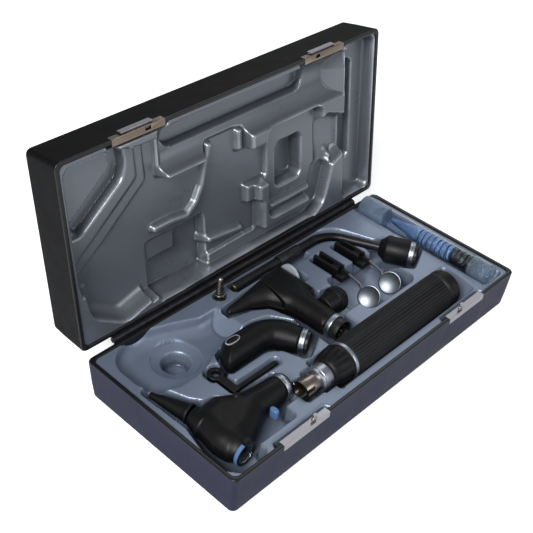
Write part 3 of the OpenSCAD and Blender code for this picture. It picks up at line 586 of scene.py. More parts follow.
class Sheet:
    # a formed sheet: a grid of depths below its deck
    def __init__(self):
        halfX, halfY, self.pitch = case["trayX"], case["trayY"], case["trayPitch"]
        nx, ny = (int(round(2 * half / self.pitch)) + 1 for half in (halfX, halfY))
        self.x, self.y = np.meshgrid(np.linspace(-halfX, halfX, nx),
                                     np.linspace(-halfY, halfY, ny))
        self.moved = np.ones(self.x.shape, bool)
        self.moved[1:-1, 1:-1] = False
        self.features = []

    def near(self, loop, margin):
        low, high = loop.min(0) - margin, loop.max(0) + margin
        return (self.x > low[0]) & (self.x < high[0]) & (self.y > low[1]) & (self.y < high[1])

    def snap(self, loop, level):
        # grid points near a crease move onto it, so that it runs clean
        mask = self.near(loop, 3) & ~self.moved
        x, y = self.x[mask], self.y[mask]
        d = insideDistance(x, y, loop) - level
        take = np.abs(d) < self.pitch * 0.5
        spots = tuple(part[take] for part in np.nonzero(mask))
        self.x[spots], self.y[spots] = ontoLoop(x[take], y[take], d[take], loop, level)
        self.moved[spots] = True

    def add(self, kind, points, depth, wall=1.1, edge=1.0, crisp=True, surface=None):
        loop = roundedLoop(points)
        if crisp:
            self.snap(loop, 0.0)
            self.snap(loop, -wall)
        self.features.append((kind, loop, depth, wall, edge, surface))

    def addLatchNotches(self, reach, y, depth):
        for x in (-case["latchX"], case["latchX"]):
            self.add("cut", [(x - reach, -74, 1), (x + reach, -74, 1), (x + 24.5, y, 1.5),
                             (x - 24.5, y, 1.5)], depth)

    def depths(self):
        z = np.zeros(self.x.shape)
        for kind, loop, depth, wall, edge, surface in self.features:
            mask = self.near(loop, wall + 4)
            x, y = self.x[mask], self.y[mask]
            d = insideDistance(x, y, loop)
            now = z[mask]
            made = surface(x, y, d) if surface else depth
            if kind == "cut":
                z[mask] = np.maximum(now, np.minimum(wallDepth(d, depth, wall, edge),
                                                     made if surface else np.inf))
            elif kind == "bowl":
                z[mask] = np.maximum(now, np.where(d > -edge, made, 0))
            elif kind == "raise":
                z[mask] = np.minimum(now, depth + np.clip(-d, 0, None) / wall * 6.0)
            elif kind == "ease":
                z[mask] = np.minimum(now, made)
            elif kind == "level":
                # sets a floor's level inside the outline, with sloped sides
                blend = np.interp(d, [-wall, 0], [0, 1])
                z[mask] = now + (depth - now) * blend * blend * (3 - 2 * blend)
        return z

    def mesh(self, name, deckZ, bottomZ, down, turn, soften):
        z = self.depths()
        for _ in range(soften):
            z[1:-1, 1:-1] = z[1:-1, 1:-1] * 0.5 + (z[:-2, 1:-1] + z[2:, 1:-1] + z[1:-1, :-2]
                                                   + z[1:-1, 2:]) * 0.125
        top = np.stack([self.x, self.y, deckZ - z if down else deckZ + z], -1).reshape(-1, 3)
        index = np.arange(z.size).reshape(z.shape)
        quads = np.stack([index[:-1, :-1], index[:-1, 1:], index[1:, 1:], index[1:, :-1]], -1)
        border = np.concatenate([index[0, :-1], index[:-1, -1], index[-1, :0:-1],
                                 index[:0:-1, 0]])
        foot = top[border].copy()
        foot[:, 2] = bottomZ
        base, count = len(top), len(border)
        faces = quads.reshape(-1, 4).tolist()
        faces += [(int(border[i]), base + i, base + (i + 1) % count,
                   int(border[(i + 1) % count])) for i in range(count)]
        faces.append(range(base + count - 1, base - 1, -1))
        if not down:
            faces = [tuple(reversed(f)) for f in faces]
        mesh = bpy.data.meshes.new(name)
        mesh.from_pydata(np.concatenate([top, foot]).tolist(), [], [tuple(f) for f in faces])
        mesh.transform(Matrix.Scale(mm, 4))
        if turn is not None:
            mesh.transform(turn)
        shade(mesh, 80)
        return mesh


hingePoint = Vector((0, case["hingeY"], case["hingeZ"])) * mm
lidTurn = (Matrix.Translation(hingePoint)
           @ Matrix.Rotation(-math.radians(case["openAngle"]), 4, "X")
           @ Matrix.Translation(-hingePoint))

# base tray: where each instrument lies, and how deep below the deck (mm)
baseTray = {
    "pockets": {
        "ring": (boxLoop(-57, -44, -58.2, -35.8, 1.5), 11.4),
        "bayonet": (boxLoop(-72.5, -55, -56.3, -37.7, 1.5), 9.2),
        "otoscope": ([(-154.6, -43, 6), (-154.6, -60, 5), (-149, -68, 4), (-125.6, -68, 3),
                      (-125.6, -59, 3), (-106, -59, 3), (-89, -59, 2), (-88, -48, 2),
                      (-71.5, -47, 2), (-71.5, -21, 2), (-107, -20, 6), (-118, -10, 4),
                      (-125, -9, 4), (-131.5, 0, 8), (-141.5, 27.5, 3), (-150.5, 26, 3),
                      (-148.5, -18, 8)], 12.9),
        "nasal": ([(-17, -30, 2), (14, -30, 2), (14, -12.5, 1), (35.5, -12.5, 4),
                   (35.5, 14.5, 4), (20, 15, 2), (20, 33, 2), (27, 33, 2), (27, 57.5, 3),
                   (10, 57.5, 3), (-10, 54, 8), (-51, 50.8, 3), (-51.5, 41, 3), (-33, 36, 10),
                   (-21, 28, 10), (-16.6, 12, 8)], 12.5),
        "tongueLight": ([(-92.5, -2, 3), (-57, -2.2, 12), (-47.5, -10, 8), (-42.5, -25, 2),
                         (-38.5, -27.5, 2), (-17.6, -16.5, 2), (-17, -8, 2), (-20.5, 8, 12),
                         (-30, 22, 12), (-42, 25.7, 8), (-76, 25.7, 8), (-87, 19.5, 6),
                         (-93.5, 4, 4)], 12.4),
        "key": ([(-105, -17.5, 3), (-58, -17.5, 2.6), (-58, -10.6, 2.6), (-96.2, -10.6, 2),
                 (-96.2, -1, 2), (-93, 1, 3), (-93, 12.5, 5), (-108, 12.5, 5), (-108, 1, 3),
                 (-105, -1, 2)], 5.5),
        "armLight": ([(78, 58.4, 20), (93.3, 28.4, 4), (91, 20, 3), (94, -6, 8), (101, -15, 3),
                      (127, -4, 4), (124, 22, 4), (107, 29, 8), (94, 62, 18), (81, 68.4, 14),
                      (-28, 68.4, 3), (-28, 58.4, 3)], 12.9),
        "finger": (boxLoop(24, 49, 52, 60, 2), 6),
        "mirrors": (boxLoop(35.5, 91.5, -23.5, 21.5, 6), 14),
        "leftClip": (boxLoop(45.2, 58.8, 14, 47.5, 1.5), 6.4),
        "rightClip": (boxLoop(71.2, 84.8, 14, 47.5, 1.5), 6.4),
        "lamp": (boxLoop(-45.3, -36.7, 58.7, 67.3, 4.2), 11.4),
    },
    "handleTrough": {"y": -47, "half": 16.8, "depth": 15.7, "scoopFrom": 101.5,
                     "scoopEnd": 120.6},
    "tubeTrough": {"x": 139.3, "half": 11.9, "depth": 8.1},
    "bowl": {"depth": 11, "round": 13, "funnel": (-104.5, 42), "funnelRadius": 19,
             "holeRadius": 11, "funnelDepth": 15, "holeDepth": 26, "facetFrom": -51,
             "outline": [(-104, 14, 20), (-82, 23.5, 12), (-66, 27, 8), (-38, 27, 1),
                         (-38, 53.5, 2), (-70, 54, 14), (-92, 64, 16), (-117, 73, 24),
                         (-147, 64, 22), (-147, 25, 22), (-128, 13, 16)]},
}


def handleSurface(x, y, d):
    trough = baseTray["handleTrough"]
    offset = y - trough["y"]
    # the scoop at the handle's end climbs to the deck
    ramp = np.where(x > trough["scoopFrom"],
                    (trough["scoopEnd"] - x) * 0.98 + offset * 0.18, 99)
    return np.minimum(roundTrough(offset, trough["half"], trough["depth"]),
                      np.maximum(ramp, 0))


def tubeSurface(x, y, d):
    trough = baseTray["tubeTrough"]
    return roundTrough(x - trough["x"], trough["half"], trough["depth"])


def bowlSurface(x, y, d):
    bowl = baseTray["bowl"]
    hole, rim, cone = bowl["holeRadius"], bowl["funnelRadius"], bowl["funnelDepth"]
    ramp = np.where(x > -75, (bowl["facetFrom"] - x) * 0.85, 99)
    depth = np.minimum(swell(d + 1.0, bowl["depth"], bowl["round"]), np.maximum(ramp, 0))
    r = np.hypot(x - bowl["funnel"][0], y - bowl["funnel"][1])
    funnel = np.interp(r, [hole - 1.4, hole - 0.2, hole + 0.6, rim - 1.2, rim + 0.8, rim + 3],
                       [bowl["holeDepth"], cone + 0.6, cone - 0.4, bowl["depth"] + 1.0,
                        bowl["depth"] - 0.1, 0])
    return np.maximum(depth, np.where(r < rim + 0.8, funnel, 0))


def makeBaseTray():
    sheet, bowl = Sheet(), baseTray["bowl"]
    hole = circleLoop(bowl["funnel"], bowl["holeRadius"], 48)
    sheet.snap(hole, 1.4)
    sheet.snap(hole, -0.2)
    sheet.snap(circleLoop(bowl["funnel"], bowl["funnelRadius"], 64), 0.0)
    for points, depth in baseTray["pockets"].values():
        sheet.add("cut", points, depth)
    sheet.add("cut", boxLoop(-45.4, 120, -63.8, -30.2, 3), 16, surface=handleSurface)
    sheet.add("cut", boxLoop(127.4, 151.2, -66, 69, 3), 9, surface=tubeSurface)
    sheet.add("bowl", bowl["outline"], bowl["depth"], 0.1, crisp=False, surface=bowlSurface)
    sheet.addLatchNotches(28, -66.5, 5)
    return sheet.mesh("baseTrayForm", case["deck"], case["trayFloor"], True, None, 1)


piece = makePiece("baseTrayForm", makeBaseTray(), "base", "baseTray", ["base_tray"])
print("base tray formed,", len(piece.data.polygons), "faces")

# lid tray, drawn shut: outlines in mm from the middle of the case, depths into the lid
lidTray = {
    "floor": 13.6,
    "heads": [(-151, -64, 5), (-111, -64, 3), (-104, -58, 4), (-71, -58, 3), (-71, -24, 3),
              (-33, -24, 4), (-24, -36, 3), (4, -36, 3), (13, -34, 2), (13, 59.4, 3),
              (-80, 60, 6), (-118, 70, 16), (-146, 52, 16), (-151, 20, 6)],
    "triangle": [(-151, -62, 4), (-112, -62, 3), (-111.5, -48, 5), (-146, -22.5, 4),
                 (-151, -22, 3)],
    "trench": [(-146.5, -17, 5), (-143, -23, 3), (-109, -49.5, 5), (-108, -60.5, 3),
               (-101, -60.5, 3), (-99.5, -44, 8), (-103, -36, 8), (-141, -8.5, 4)],
    "shelf": [(-150, -8, 2), (-141, -7.5, 3), (-101, -36, 6), (-97.5, -46, 6), (-98, -60, 2),
              (-90.5, -59, 2), (-90, -33, 4), (-130, -3, 4), (-150.5, 12, 2)],
    "ramp": [(-130, -3, 1), (-90, -33, 3), (-90, -56, 1), (-82.5, -55, 2), (-81.5, -27, 4),
             (-121, 3, 2), (-147, 20, 3), (-150, 12, 1)],
    "lampRecess": [(-56, 25, 3), (-28.5, 24, 3), (-28.5, 69, 3), (-85, 67, 4), (-85, 41, 3),
                   (-57, 41, 3)],
    "armHead": [(90, 30, 3), (88, -12, 4), (100, -18, 3), (125, -9, 4), (125, 22, 4),
                (107, 30, 8), (104, 42, 12)],
    "arm": [(90, 26, 3), (108, 26, 6), (96, 61, 12), (82, 69.2, 8), (-31, 69.2, 2),
            (-31, 59, 2), (78, 57, 8)],
    "longRib": [(-79, 14.5), (-62, 14.5), (-47, 16.5), (-37, 9), (-30, -3), (-27, -14),
                (-21, -33)],
}


def lidBowl(x, y, d):
    # the long curved side at the recess's lower left
    width = np.minimum(np.interp(x, [-94, -80], [10.5, 1.0]),
                       np.interp(y, [14, 32], [1.0, 10.5]))
    return swell(d, lidTray["floor"], width) + (10.5 - width) * 3.0


def lidGroove(x, y, d):
    ramp = np.where(x > 100, (121.5 - x) * 0.9 + np.clip(-(y + 50), 0, 20) * 0.25, 99)
    ramp = np.where(x < -62, np.maximum(0, (x + 77.5) * 1.2), ramp)
    needed = np.where((x > 89) & (x < 103), roundTrough(y + 47, 16.4, 13.0), 0)
    return np.maximum(np.minimum(roundTrough(y + 47.3, 18.3, 14.6), np.maximum(ramp, 0)),
                      needed)


def lidArmBowl(x, y, d):
    return swell(d + 0.6, 12.2, 10)


def makeLidTray():
    sheet, floor = Sheet(), lidTray["floor"]
    add = sheet.add
    add("cut", lidTray["heads"], floor, 2.2, 1.4)
    add("cut", boxLoop(11, 36, -16, 15.5, 3), floor, 1.6, 1.2)
    add("cut", boxLoop(11, 24.5, 31, 59, 3), floor, 1.6, 1.2)
    add("cut", boxLoop(11, 20.5, 13.5, 33.5, 3), 7, 1.4, 1.2)
    add("level", lidTray["ramp"], 11.4, 1.6, crisp=False)
    add("level", lidTray["shelf"], 10.0, 1.4, crisp=False)
    add("level", lidTray["triangle"], 9.2, 1.4, crisp=False)
    add("cut", lidTray["trench"], 18, 2.6, 1.6)
    add("ease", lidTray["heads"], 0, surface=lidBowl, crisp=False)
    add("cut", lidTray["lampRecess"], 22, 1.4, 1.2)
    add("cut", boxLoop(-85, -50, 24, 68, 4), 15.5, 1.4, 1.2)
    # raised ribs round the pockets of the heads
    add("raise", bandLoop(lidTray["longRib"], 4.0, 1.5), 8.7, 1.8, crisp=False)
    add("raise", bandLoop([(-27, 47), (-12, 49), (9, 51.5)], 3.4, 1.2), 8.9, 2.0, crisp=False)
    add("raise", bandLoop([(9.5, -33), (9.8, -25), (9.5, -17)], 4.0, 1.2), 8.7, 2.0,
        crisp=False)
    # handle, tube, mirrors and bent light
    add("cut", boxLoop(-75, 120, -67, -29.2, 3), 16, 0.9, surface=lidGroove)
    add("cut", boxLoop(-62, 83, -64.5, -43, 9), 21, 1.2, 1.2)
    add("cut", boxLoop(123, 153, -68, 68, 6), 10.2, 2.0, 1.6)
    add("cut", boxLoop(125.6, 138, -52, 37, 6), 17, 1.0)
    add("cut", boxLoop(33, 92, -26, 48, 5), 8.6, 2.2, 1.4)
    add("cut", boxLoop(47, 76, -8, 30, 6), 22, 1.4, 1.2)
    add("raise", bandLoop([(38, 43), (60, 43.5), (86, 43)], 3.0, 1.2), 4.5, 1.6, crisp=False)
    add("cut", lidTray["armHead"], 12.2, 0.4, surface=lidArmBowl)
    add("cut", lidTray["arm"], 11, 1.4, 1.2)
    sheet.addLatchNotches(27, -67.5, 9)
    top = case["lidRim"] + case["lidHeight"] - case["trayFloor"]
    return sheet.mesh("lidTrayForm", case["lidDeck"], top, False, lidTurn, 2)


piece = makePiece("lidTrayForm", makeLidTray(), "lid", "lidTray", ["lid_tray"])
print("lid tray formed,", len(piece.data.polygons), "faces")

shellForm = {"setBack": 0.5, "footRadius": 3.0, "skinTop": 1.3, "cornerRadius": 3.6,
             "rim": [(0.62, -1.3), (0.55, -0.9), (0.62, -0.45), (0.95, -0.18), (1.5, -0.12),
                     (2.9, -0.12), (3.5, -0.25), (3.8, -0.6), (3.9, -1.2), (3.9, -2.6),
                     (3.1, -2.9), (2.9, -1.3)]}
# the catch hooks, their eyes and the slots that take them in the lid
hook = {"x": 84.5, "y": -71.8, "z": 36.6, "outer": 2.3, "inner": 0.9, "thick": 1.5,
        "slotHalf": 2.9, "slotFront": -72.9, "slotBack": -68.7, "slotDepth": 8.1}


def rectLoop(inset, z, radius, steps=8):
    x, y = case["width"] / 2 - inset, case["depth"] / 2 - inset
    radius = max(0.6, radius)
    loop = []
    for cx, cy, first in ((x, y, 0), (-x, y, 90), (-x, -y, 180), (x, -y, 270)):
        sx, sy = math.copysign(radius, cx), math.copysign(radius, cy)
        for k in range(steps + 1):
            a = math.radians(first + 90 * k / steps)
            loop.append((cx - sx + radius * math.cos(a), cy - sy + radius * math.sin(a), z))
    return loop


def hookSlots():
    rim, half = case["lidRim"], hook["slotHalf"]
    return [boxMesh(x - half, x + half, hook["slotFront"], hook["slotBack"], rim - 1.0,
                    rim + hook["slotDepth"], lidTurn) for x in (-hook["x"], hook["x"])]


def makeShell(half, height, turn=None):
    setBack, foot, corner = (shellForm[k] for k in ("setBack", "footRadius", "cornerRadius"))
    lean, lip = case["draft"], height - shellForm["skinTop"]
    loops = []
    for k in range(7):
        a = math.pi / 2 * k / 6
        rise, curl = foot * (1 - math.cos(a)), foot * (1 - math.sin(a))
        loops.append(rectLoop(setBack + lean * (1 - rise / height) + curl, rise,
                              corner - curl + 1))
    for share in (0.35, 0.65, 1.0):
        z = foot + (lip - foot) * share
        loops.append(rectLoop(setBack + lean * (1 - z / height), z, corner))
    # over the lip and down the inside
    loops += [rectLoop(setBack + 0.45, lip + 0.3, corner), rectLoop(3.0, lip + 0.3, 3),
              rectLoop(3.2, height - 6, 3), rectLoop(3.4, case["floor"], 3)]
    rim = [rectLoop(inset, height + drop, corner + 1.2 - inset * 0.15)
           for inset, drop in shellForm["rim"]]
    if turn is not None:
        loops, rim = ([[(x, y, case["lidRim"] + height - z) for x, y, z in loop]
                       for loop in part] for part in (loops, rim))
    skin = ringMesh(half + "Shell", loops, capped=True, turn=turn)
    edge = ringMesh(half + "Rim", rim, around=True, turn=turn, smoothAngle=50)
    if turn is not None:
        skin, edge = cutMesh(skin, hookSlots(), 35), cutMesh(edge, hookSlots(), 50)
    makePiece(half + "ShellSkin", skin, half, half + "Shell", [half + "_shell"])
    makePiece(half + "RimFrame", edge, half, "rim")


makeShell("base", case["baseHeight"])
makeShell("lid", case["lidHeight"], lidTurn)
print("shells made")

hinge = {"rivets": 5, "firstX": -118, "spacing": 59.0, "backY": 74.8, "baseZ": 26.7,
         "lidZ": 43.0, "rivet": [(-3.6, 0), (-3.6, 1.0), (0.0, 1.0), (0.0, 2.0), (0.18, 1.96),
                                 (0.38, 1.7), (0.52, 1.2), (0.58, 0.6), (0.6, 0)]}
for half, turn in (("base", Matrix.Identity(4)), ("lid", lidTurn)):
    seed = latheMesh(half + "Rivet", hinge["rivet"], (0, 0, 0), yAxis, 24)
    first = Vector((hinge["firstX"], hinge["backY"], hinge[half + "Z"])) * mm
    mesh = repeated(half + "Rivets", seed, lineTree, {
        "Count": hinge["rivets"], "Step": (hinge["spacing"] * mm, 0, 0),
        "Finish": finishes["hinge"]}, turn @ Matrix.Translation(first))
    makePiece(half + "HingeRivets", mesh, half, "hinge", [half + "_rivets"])

for side, sign in (("left", -1), ("right", 1)):
    turnedPiece(side + "HookEye", collarRing(hook["thick"], hook["outer"], hook["inner"], 0.4),
                (sign * hook["x"], hook["y"] - hook["thick"] / 2, hook["z"]), yAxis, "base",
                "warmNickel", steps=32)

# CAD nodes whose shape is right, with how far their edges are eased in mm
keptNodes = (
    ("hinge", 0, "base_hinge_leaf lid_hinge_leaf hinge_pin"),
    ("nickel", 0.12, "catch_plate_left catch_plate_right"),
    ("lidNickel", 0.12, "latch_plate_left latch_plate_right"),
    ("nickel", 0.25, "latch_slide_left latch_slide_right"),
    ("warmNickel", 0.2, "handle_bayonet"), ("brass", 0.1, "handle_contact_pin"),
    ("cell", 0.3, "battery_cells"), ("steel", 0, "battery_spring"),
    ("blackMetal", 0.15, "otoscope_socket nasal_socket tongue_light_socket arm_light_socket"),
    ("blackMetal", 0, "arm_light_tube"), ("lens", 0, "otoscope_lens"),
    ("paleLens", 0.3, "nasal_lens"))
for finish, bevel, nodes in keptNodes:
    for node in nodes.split():
        keepNode(node, finish, bevel)
print("hinge and latches made")

handle = {"y": -47.0, "z": 33.7, "gripFrom": -24.4, "gripLength": 114.0, "radius": 15.2,
          "ribs": 40, "ribHeight": 0.62, "ribWidth": 1.35, "flutes": 12, "fluteDepth": 0.9}


def alongHandle(x):
    return (x, handle["y"], handle["z"])


def makeRib():
    # one long rounded rib on the grip, at the top of the circle
    length, half, high = handle["gripLength"] - 3.0, handle["ribWidth"] / 2, handle["radius"]
    low = high - handle["ribHeight"]
    section = [(-half, low - 0.5), (-half, low + 0.25), (-half * 0.72, high - 0.16),
               (-half * 0.3, high), (half * 0.3, high), (half * 0.72, high - 0.16),
               (half, low + 0.25), (half, low - 0.5)]
    loops = [[(along, y, z - (sink if z > low else 0)) for y, z in section]
             for along, sink in ((0.0, 0.6), (0.7, 0.0), (length - 0.7, 0.0), (length, 0.6))]
    return ringMesh("gripRib", loops, capped=True, smoothAngle=50)


def collarShape(along, radius, angle):
    # flutes that run out towards the steel ring
    if radius < 11:
        return radius
    flute = max(0.0, math.cos(handle["flutes"] * angle)) ** 2
    reach = min(1.0, max(0.0, (along - 1.5) / 3)) * min(1.0, max(0.0, (15.8 - along) / 1.5))
    return radius - handle["fluteDepth"] * flute * reach


core = handle["radius"] - handle["ribHeight"]
turnedPiece("gripTube", [
    (0, 8.2), (0, core + 0.2), (0.5, core + 0.55), (1.2, core + 0.55), (1.7, core),
    (112.2, core), (112.7, core + 0.55), (113.5, core + 0.55), (113.9, core + 0.2),
    (113.9, 13.9), (3, 13.9), (3, 8.2)], alongHandle(handle["gripFrom"]), xAxis, "handle",
    "gripRubber", ["handle_grip"], 96)
makePiece("gripRibs", repeated("gripRibs", makeRib(), roundTree, {
    "Count": handle["ribs"], "Start Angle": 0.0, "Finish": finishes["gripRubber"]},
    frameAlong(alongHandle(handle["gripFrom"] + 1.5), xAxis)), "handle", "gripRubber")
turnedPiece("gripTrimRing", collarRing(3.0, 15.2, 8.0, 0.4), alongHandle(-27.6), xAxis,
            "handle", "steel", ["handle_trim_ring"], 96)
turnedPiece("switchCollar", [
    (0, 8.2), (0, 11.2), (0.4, 11.7), (2.0, 12.6), (5.0, 13.7), (9.0, 14.3), (13, 14.6),
    (15.8, 14.6), (16.4, 14.45), (16.8, 14.0), (16.8, 8.2)], alongHandle(-45.0), xAxis,
    "handle_switch", "blackPlastic", ["handle_collar"], 144, collarShape)
turnedPiece("connectorSleeve", [
    (0, 8.0), (0.3, 9.5), (0.7, 9.95), (2.2, 10.0), (2.5, 9.7), (3.0, 9.7), (3.3, 10.0),
    (9.8, 10.0), (10.6, 9.8), (10.9, 9.4), (10.9, 7.9), (31.4, 7.9), (31.4, 5.1), (0.4, 5.1),
    (0.0, 5.5)], alongHandle(-56.1), xAxis, "handle", "steel", ["handle_ring"], 96)
turnedPiece("endCap", [
    (-5, 0), (-5, 13.4), (0, 13.4), (0, 14.6), (0.3, 14.95), (3.2, 15.0), (3.6, 14.8),
    (4.0, 14.8), (4.4, 15.0), (8.6, 15.0), (9.9, 14.6), (11.0, 13.6), (11.7, 12.2),
    (12.0, 10.6), (11.8, 9.6), (11.8, 0)], alongHandle(89.75), xAxis, "handle_end",
    "blackPlastic", ["handle_cap"], 96, ring=False)
print("handle made")

heads = {"z": 32.7, "ringRadius": 10.0, "ringLength": 4.2}


def level(x, y, lift=0.0):
    return (x, y, heads["z"] + lift)


def coneMesh(a, b, r1, r2):
    # a plain rounded cone between two points, for fusing
    a, b = Vector(a), Vector(b)
    length = (b - a).length
    return latheMesh("fuse", [(0, 0), (0, r1 * 0.8), (0.8, r1), (length - 0.8, r2),
                              (length, r2 * 0.8), (length, 0)], a, b - a, 48)


def headRing(name, at, direction, body, node, radius=heads["ringRadius"]):
    turnedPiece(name, collarRing(heads["ringLength"], radius, radius - 1.25, 0.4, 0.25), at,
                direction, body, "steel", [node], 80)


def pillowMesh(name, points, top, bottom, keep=None, pitch=0.6):
    # a soft body swollen from its outline, with heights above and below the heads' level
    loop = roundedLoop(points)
    low, high = loop.min(0) - 1, loop.max(0) + 1
    x, y = np.meshgrid(np.arange(low[0], high[0], pitch), np.arange(low[1], high[1], pitch))
    d = insideDistance(x, y, loop)
    inside = d > 0 if keep is None else (d > 0) & keep(x)
    cell = inside[:-1, :-1] & inside[:-1, 1:] & inside[1:, 1:] & inside[1:, :-1]
    around = np.zeros(x.shape, int)
    for part in (around[:-1, :-1], around[:-1, 1:], around[1:, 1:], around[1:, :-1]):
        part += cell
    move = (around > 0) & (around < 4) & (d < pitch * 1.5)
    x[move], y[move] = ontoLoop(x[move], y[move], d[move], loop)
    d[move] = 0
    upper = np.stack([x, y, heads["z"] + top(x, y, d)], -1).reshape(-1, 3)
    lower = np.stack([x, y, heads["z"] - bottom(x, y, d)], -1).reshape(-1, 3)
    count, columns = len(upper), x.shape[1]
    faces, edges = [], {}
    for i, j in zip(*np.nonzero(cell)):
        a = int(i) * columns + int(j)
        quad = (a, a + 1, a + 1 + columns, a + columns)
        faces += [quad, tuple(count + v for v in reversed(quad))]
        for v, w in zip(quad, quad[1:] + quad[:1]):
            if edges.pop((w, v), None) is None:
                edges[(v, w)] = True
    faces += [(w, v, count + v, count + w) for v, w in edges]
    used = sorted({v for f in faces for v in f})
    index = {v: k for k, v in enumerate(used)}
    points = np.concatenate([upper, lower])[used]
    return makeMesh(name, points, [tuple(index[v] for v in f) for f in faces])


def ovalLoops(oval, layers):
    # stacked ovals; each layer is (height, inset)
    return [[(oval["x"] + (oval["half"] - inset) * math.cos(a),
              oval["y"] + (oval["round"] - inset) * math.copysign(
                  abs(math.sin(a)) ** 0.8, math.sin(a)), oval["z"] + lift)
             for a in turns(40)] for lift, inset in layers]


otoscope = {"height": 12.0, "spread": 13.5, "lens": (-136.5, -57.5), "mouth": (-139, -13),
            "tip": (-147.5, 20), "outline": [
    (-145, -15, 4), (-148.5, -28, 12), (-150.5, -42, 12), (-149.0, -54, 5), (-145.8, -58, 4),
    (-145.0, -66, 1), (-126.6, -66, 1), (-127.2, -57, 4), (-117, -52.3, 8), (-104.5, -45.6, 4),
    (-88, -44.8, 8), (-80, -44.4, 1), (-80, -23.6, 1), (-95, -23, 10), (-107, -21.2, 10),
    (-114, -16.8, 6), (-121, -12.4, 4), (-131, -12.6, 2)]}


def otoscopeHeight(x, y, d):
    return (swell(d, otoscope["height"], otoscope["spread"])
            * np.interp(x, [-104, -80], [1.0, 0.86]) * np.interp(y, [-60, -46], [0.84, 1.0]))


back, front, tip = (Vector(level(*otoscope[k])) for k in ("lens", "mouth", "tip"))
bore = latheMesh("bore", [(-1, 0), (-1, 6.0), (46, 4.2), (46, 0)], back, front - back, 40)
lensCut = latheMesh("lensCut", [(0, 0), (0, 26), (24, 26), (24, 0)], back, back - front, 40)
makePiece("otoscopeHead", softMesh("otoscopeHead", [
    pillowMesh("pod", otoscope["outline"], otoscopeHeight, otoscopeHeight),
    coneMesh(level(-79.1, -34), level(-96, -34), 10.0, 10.8),
    coneMesh(front, front.lerp(back, 0.3), 7.7, 11.0),
    coneMesh(level(-113, -27, 3), level(-113, -27, 13.2), 2.4, 2.1)], 0.5, 12,
    [bore, lensCut]), "otoscope", "blackPlastic", ["otoscope_body"])
headRing("otoscopeRing", level(-78.95, -34), xAxis, "otoscope", "otoscope_ring")
axis = (tip - front).normalized()
base = front + axis * 1.8
length = (tip - base).length
turnedPiece("earSpeculum", [
    (0, 6.4), (0, 7.1), (0.3, 7.4), (1.6, 7.4), (1.9, 7.1), (2.3, 6.9), (6, 6.2),
    (length * 0.5, 4.7), (length - 4, 2.7), (length - 0.5, 2.35), (length, 2.1),
    (length, 1.4), (length - 6, 1.7), (3, 5.6), (0.4, 6.3)], base, axis, "speculum",
    "blackPlastic", ["ear_speculum"])


def bandArc(along, radius, angle):
    # the blue edge shows on the frame's left side only
    return radius if 1.8 < angle < 4.4 else min(radius, 8.9)


lensOut = (back - front).normalized()
frameAt = back + lensOut * 0.1
turnedPiece("lensFrame", collarRing(3.0, 9.1, 7.5, 0.3), frameAt, lensOut, "otoscope_swivel",
            "blackPlastic", ["otoscope_lens_frame"], 72)
turnedPiece("lensFrameBand", [(0.05, 8.8), (0.05, 9.35), (0.35, 9.6), (2.5, 9.6), (2.75, 9.4),
                              (2.75, 8.8)], frameAt, lensOut, "otoscope_swivel", "blueAccent",
            steps=72, shape=bandArc)
makePiece("lensFrameTab", softMesh("lensFrameTab", [
    boxMesh(-138.4, -133.6, -60.4, -57.9, 41, 45.0)], 0.3, 3), "otoscope_swivel",
    "blackPlastic")
lever = {"x": -99.0, "y": -49.4, "z": 31.0, "half": 2.3, "round": 3.6}
makePiece("ejectorLever", ringMesh("ejectorLever", ovalLoops(lever, (
    (0, 1.0), (0.6, 0.2), (1.4, 0.0), (6.6, 0.0), (7.4, 0.25), (7.8, 0.7), (7.95, 1.4))),
    capped=True), "ejector", "blueAccent", ["otoscope_lever"])

nasal = {"height": 10.6, "spread": 11.5, "split": -14.0, "outline": [
    (8.7, -15.5, 1), (8.7, 11, 3), (12, 16.5, 3), (17, 18.5, 2), (17, 54.5, 3), (12, 55.8, 4),
    (-8, 53.6, 20), (-28, 50.8, 20), (-46, 49, 4), (-50.2, 47.5, 2), (-50.4, 43, 2),
    (-44, 41.2, 6), (-32, 38, 12), (-20, 30.5, 12), (-13.2, 17, 12), (-11.8, 0, 20),
    (-11.8, -15.5, 1)]}


def nasalHeight(x, y, d):
    return (swell(d, nasal["height"], nasal["spread"])
            * np.interp(x, [-50, -38, -15], [0.44, 0.6, 1.0]))


def nasalTop(x, y, d):
    full = nasalHeight(x, y, d)
    return np.where(x < nasal["split"], np.minimum(full, 0.1), full)


def bladeTop(x, y, d):
    return np.maximum(nasalHeight(x, y, d) - 0.05, 0.35)


def bladeFoot(x, y, d):
    return np.full(x.shape, -0.3)


def knurl(along, radius, angle):
    if radius < 9 or along < 11.5:
        return radius
    fade = min(1, (21.8 - along) / 3 if along > 18.8 else 1)
    return radius - 0.45 * (0.5 + 0.5 * math.cos(28 * angle)) ** 2 * fade


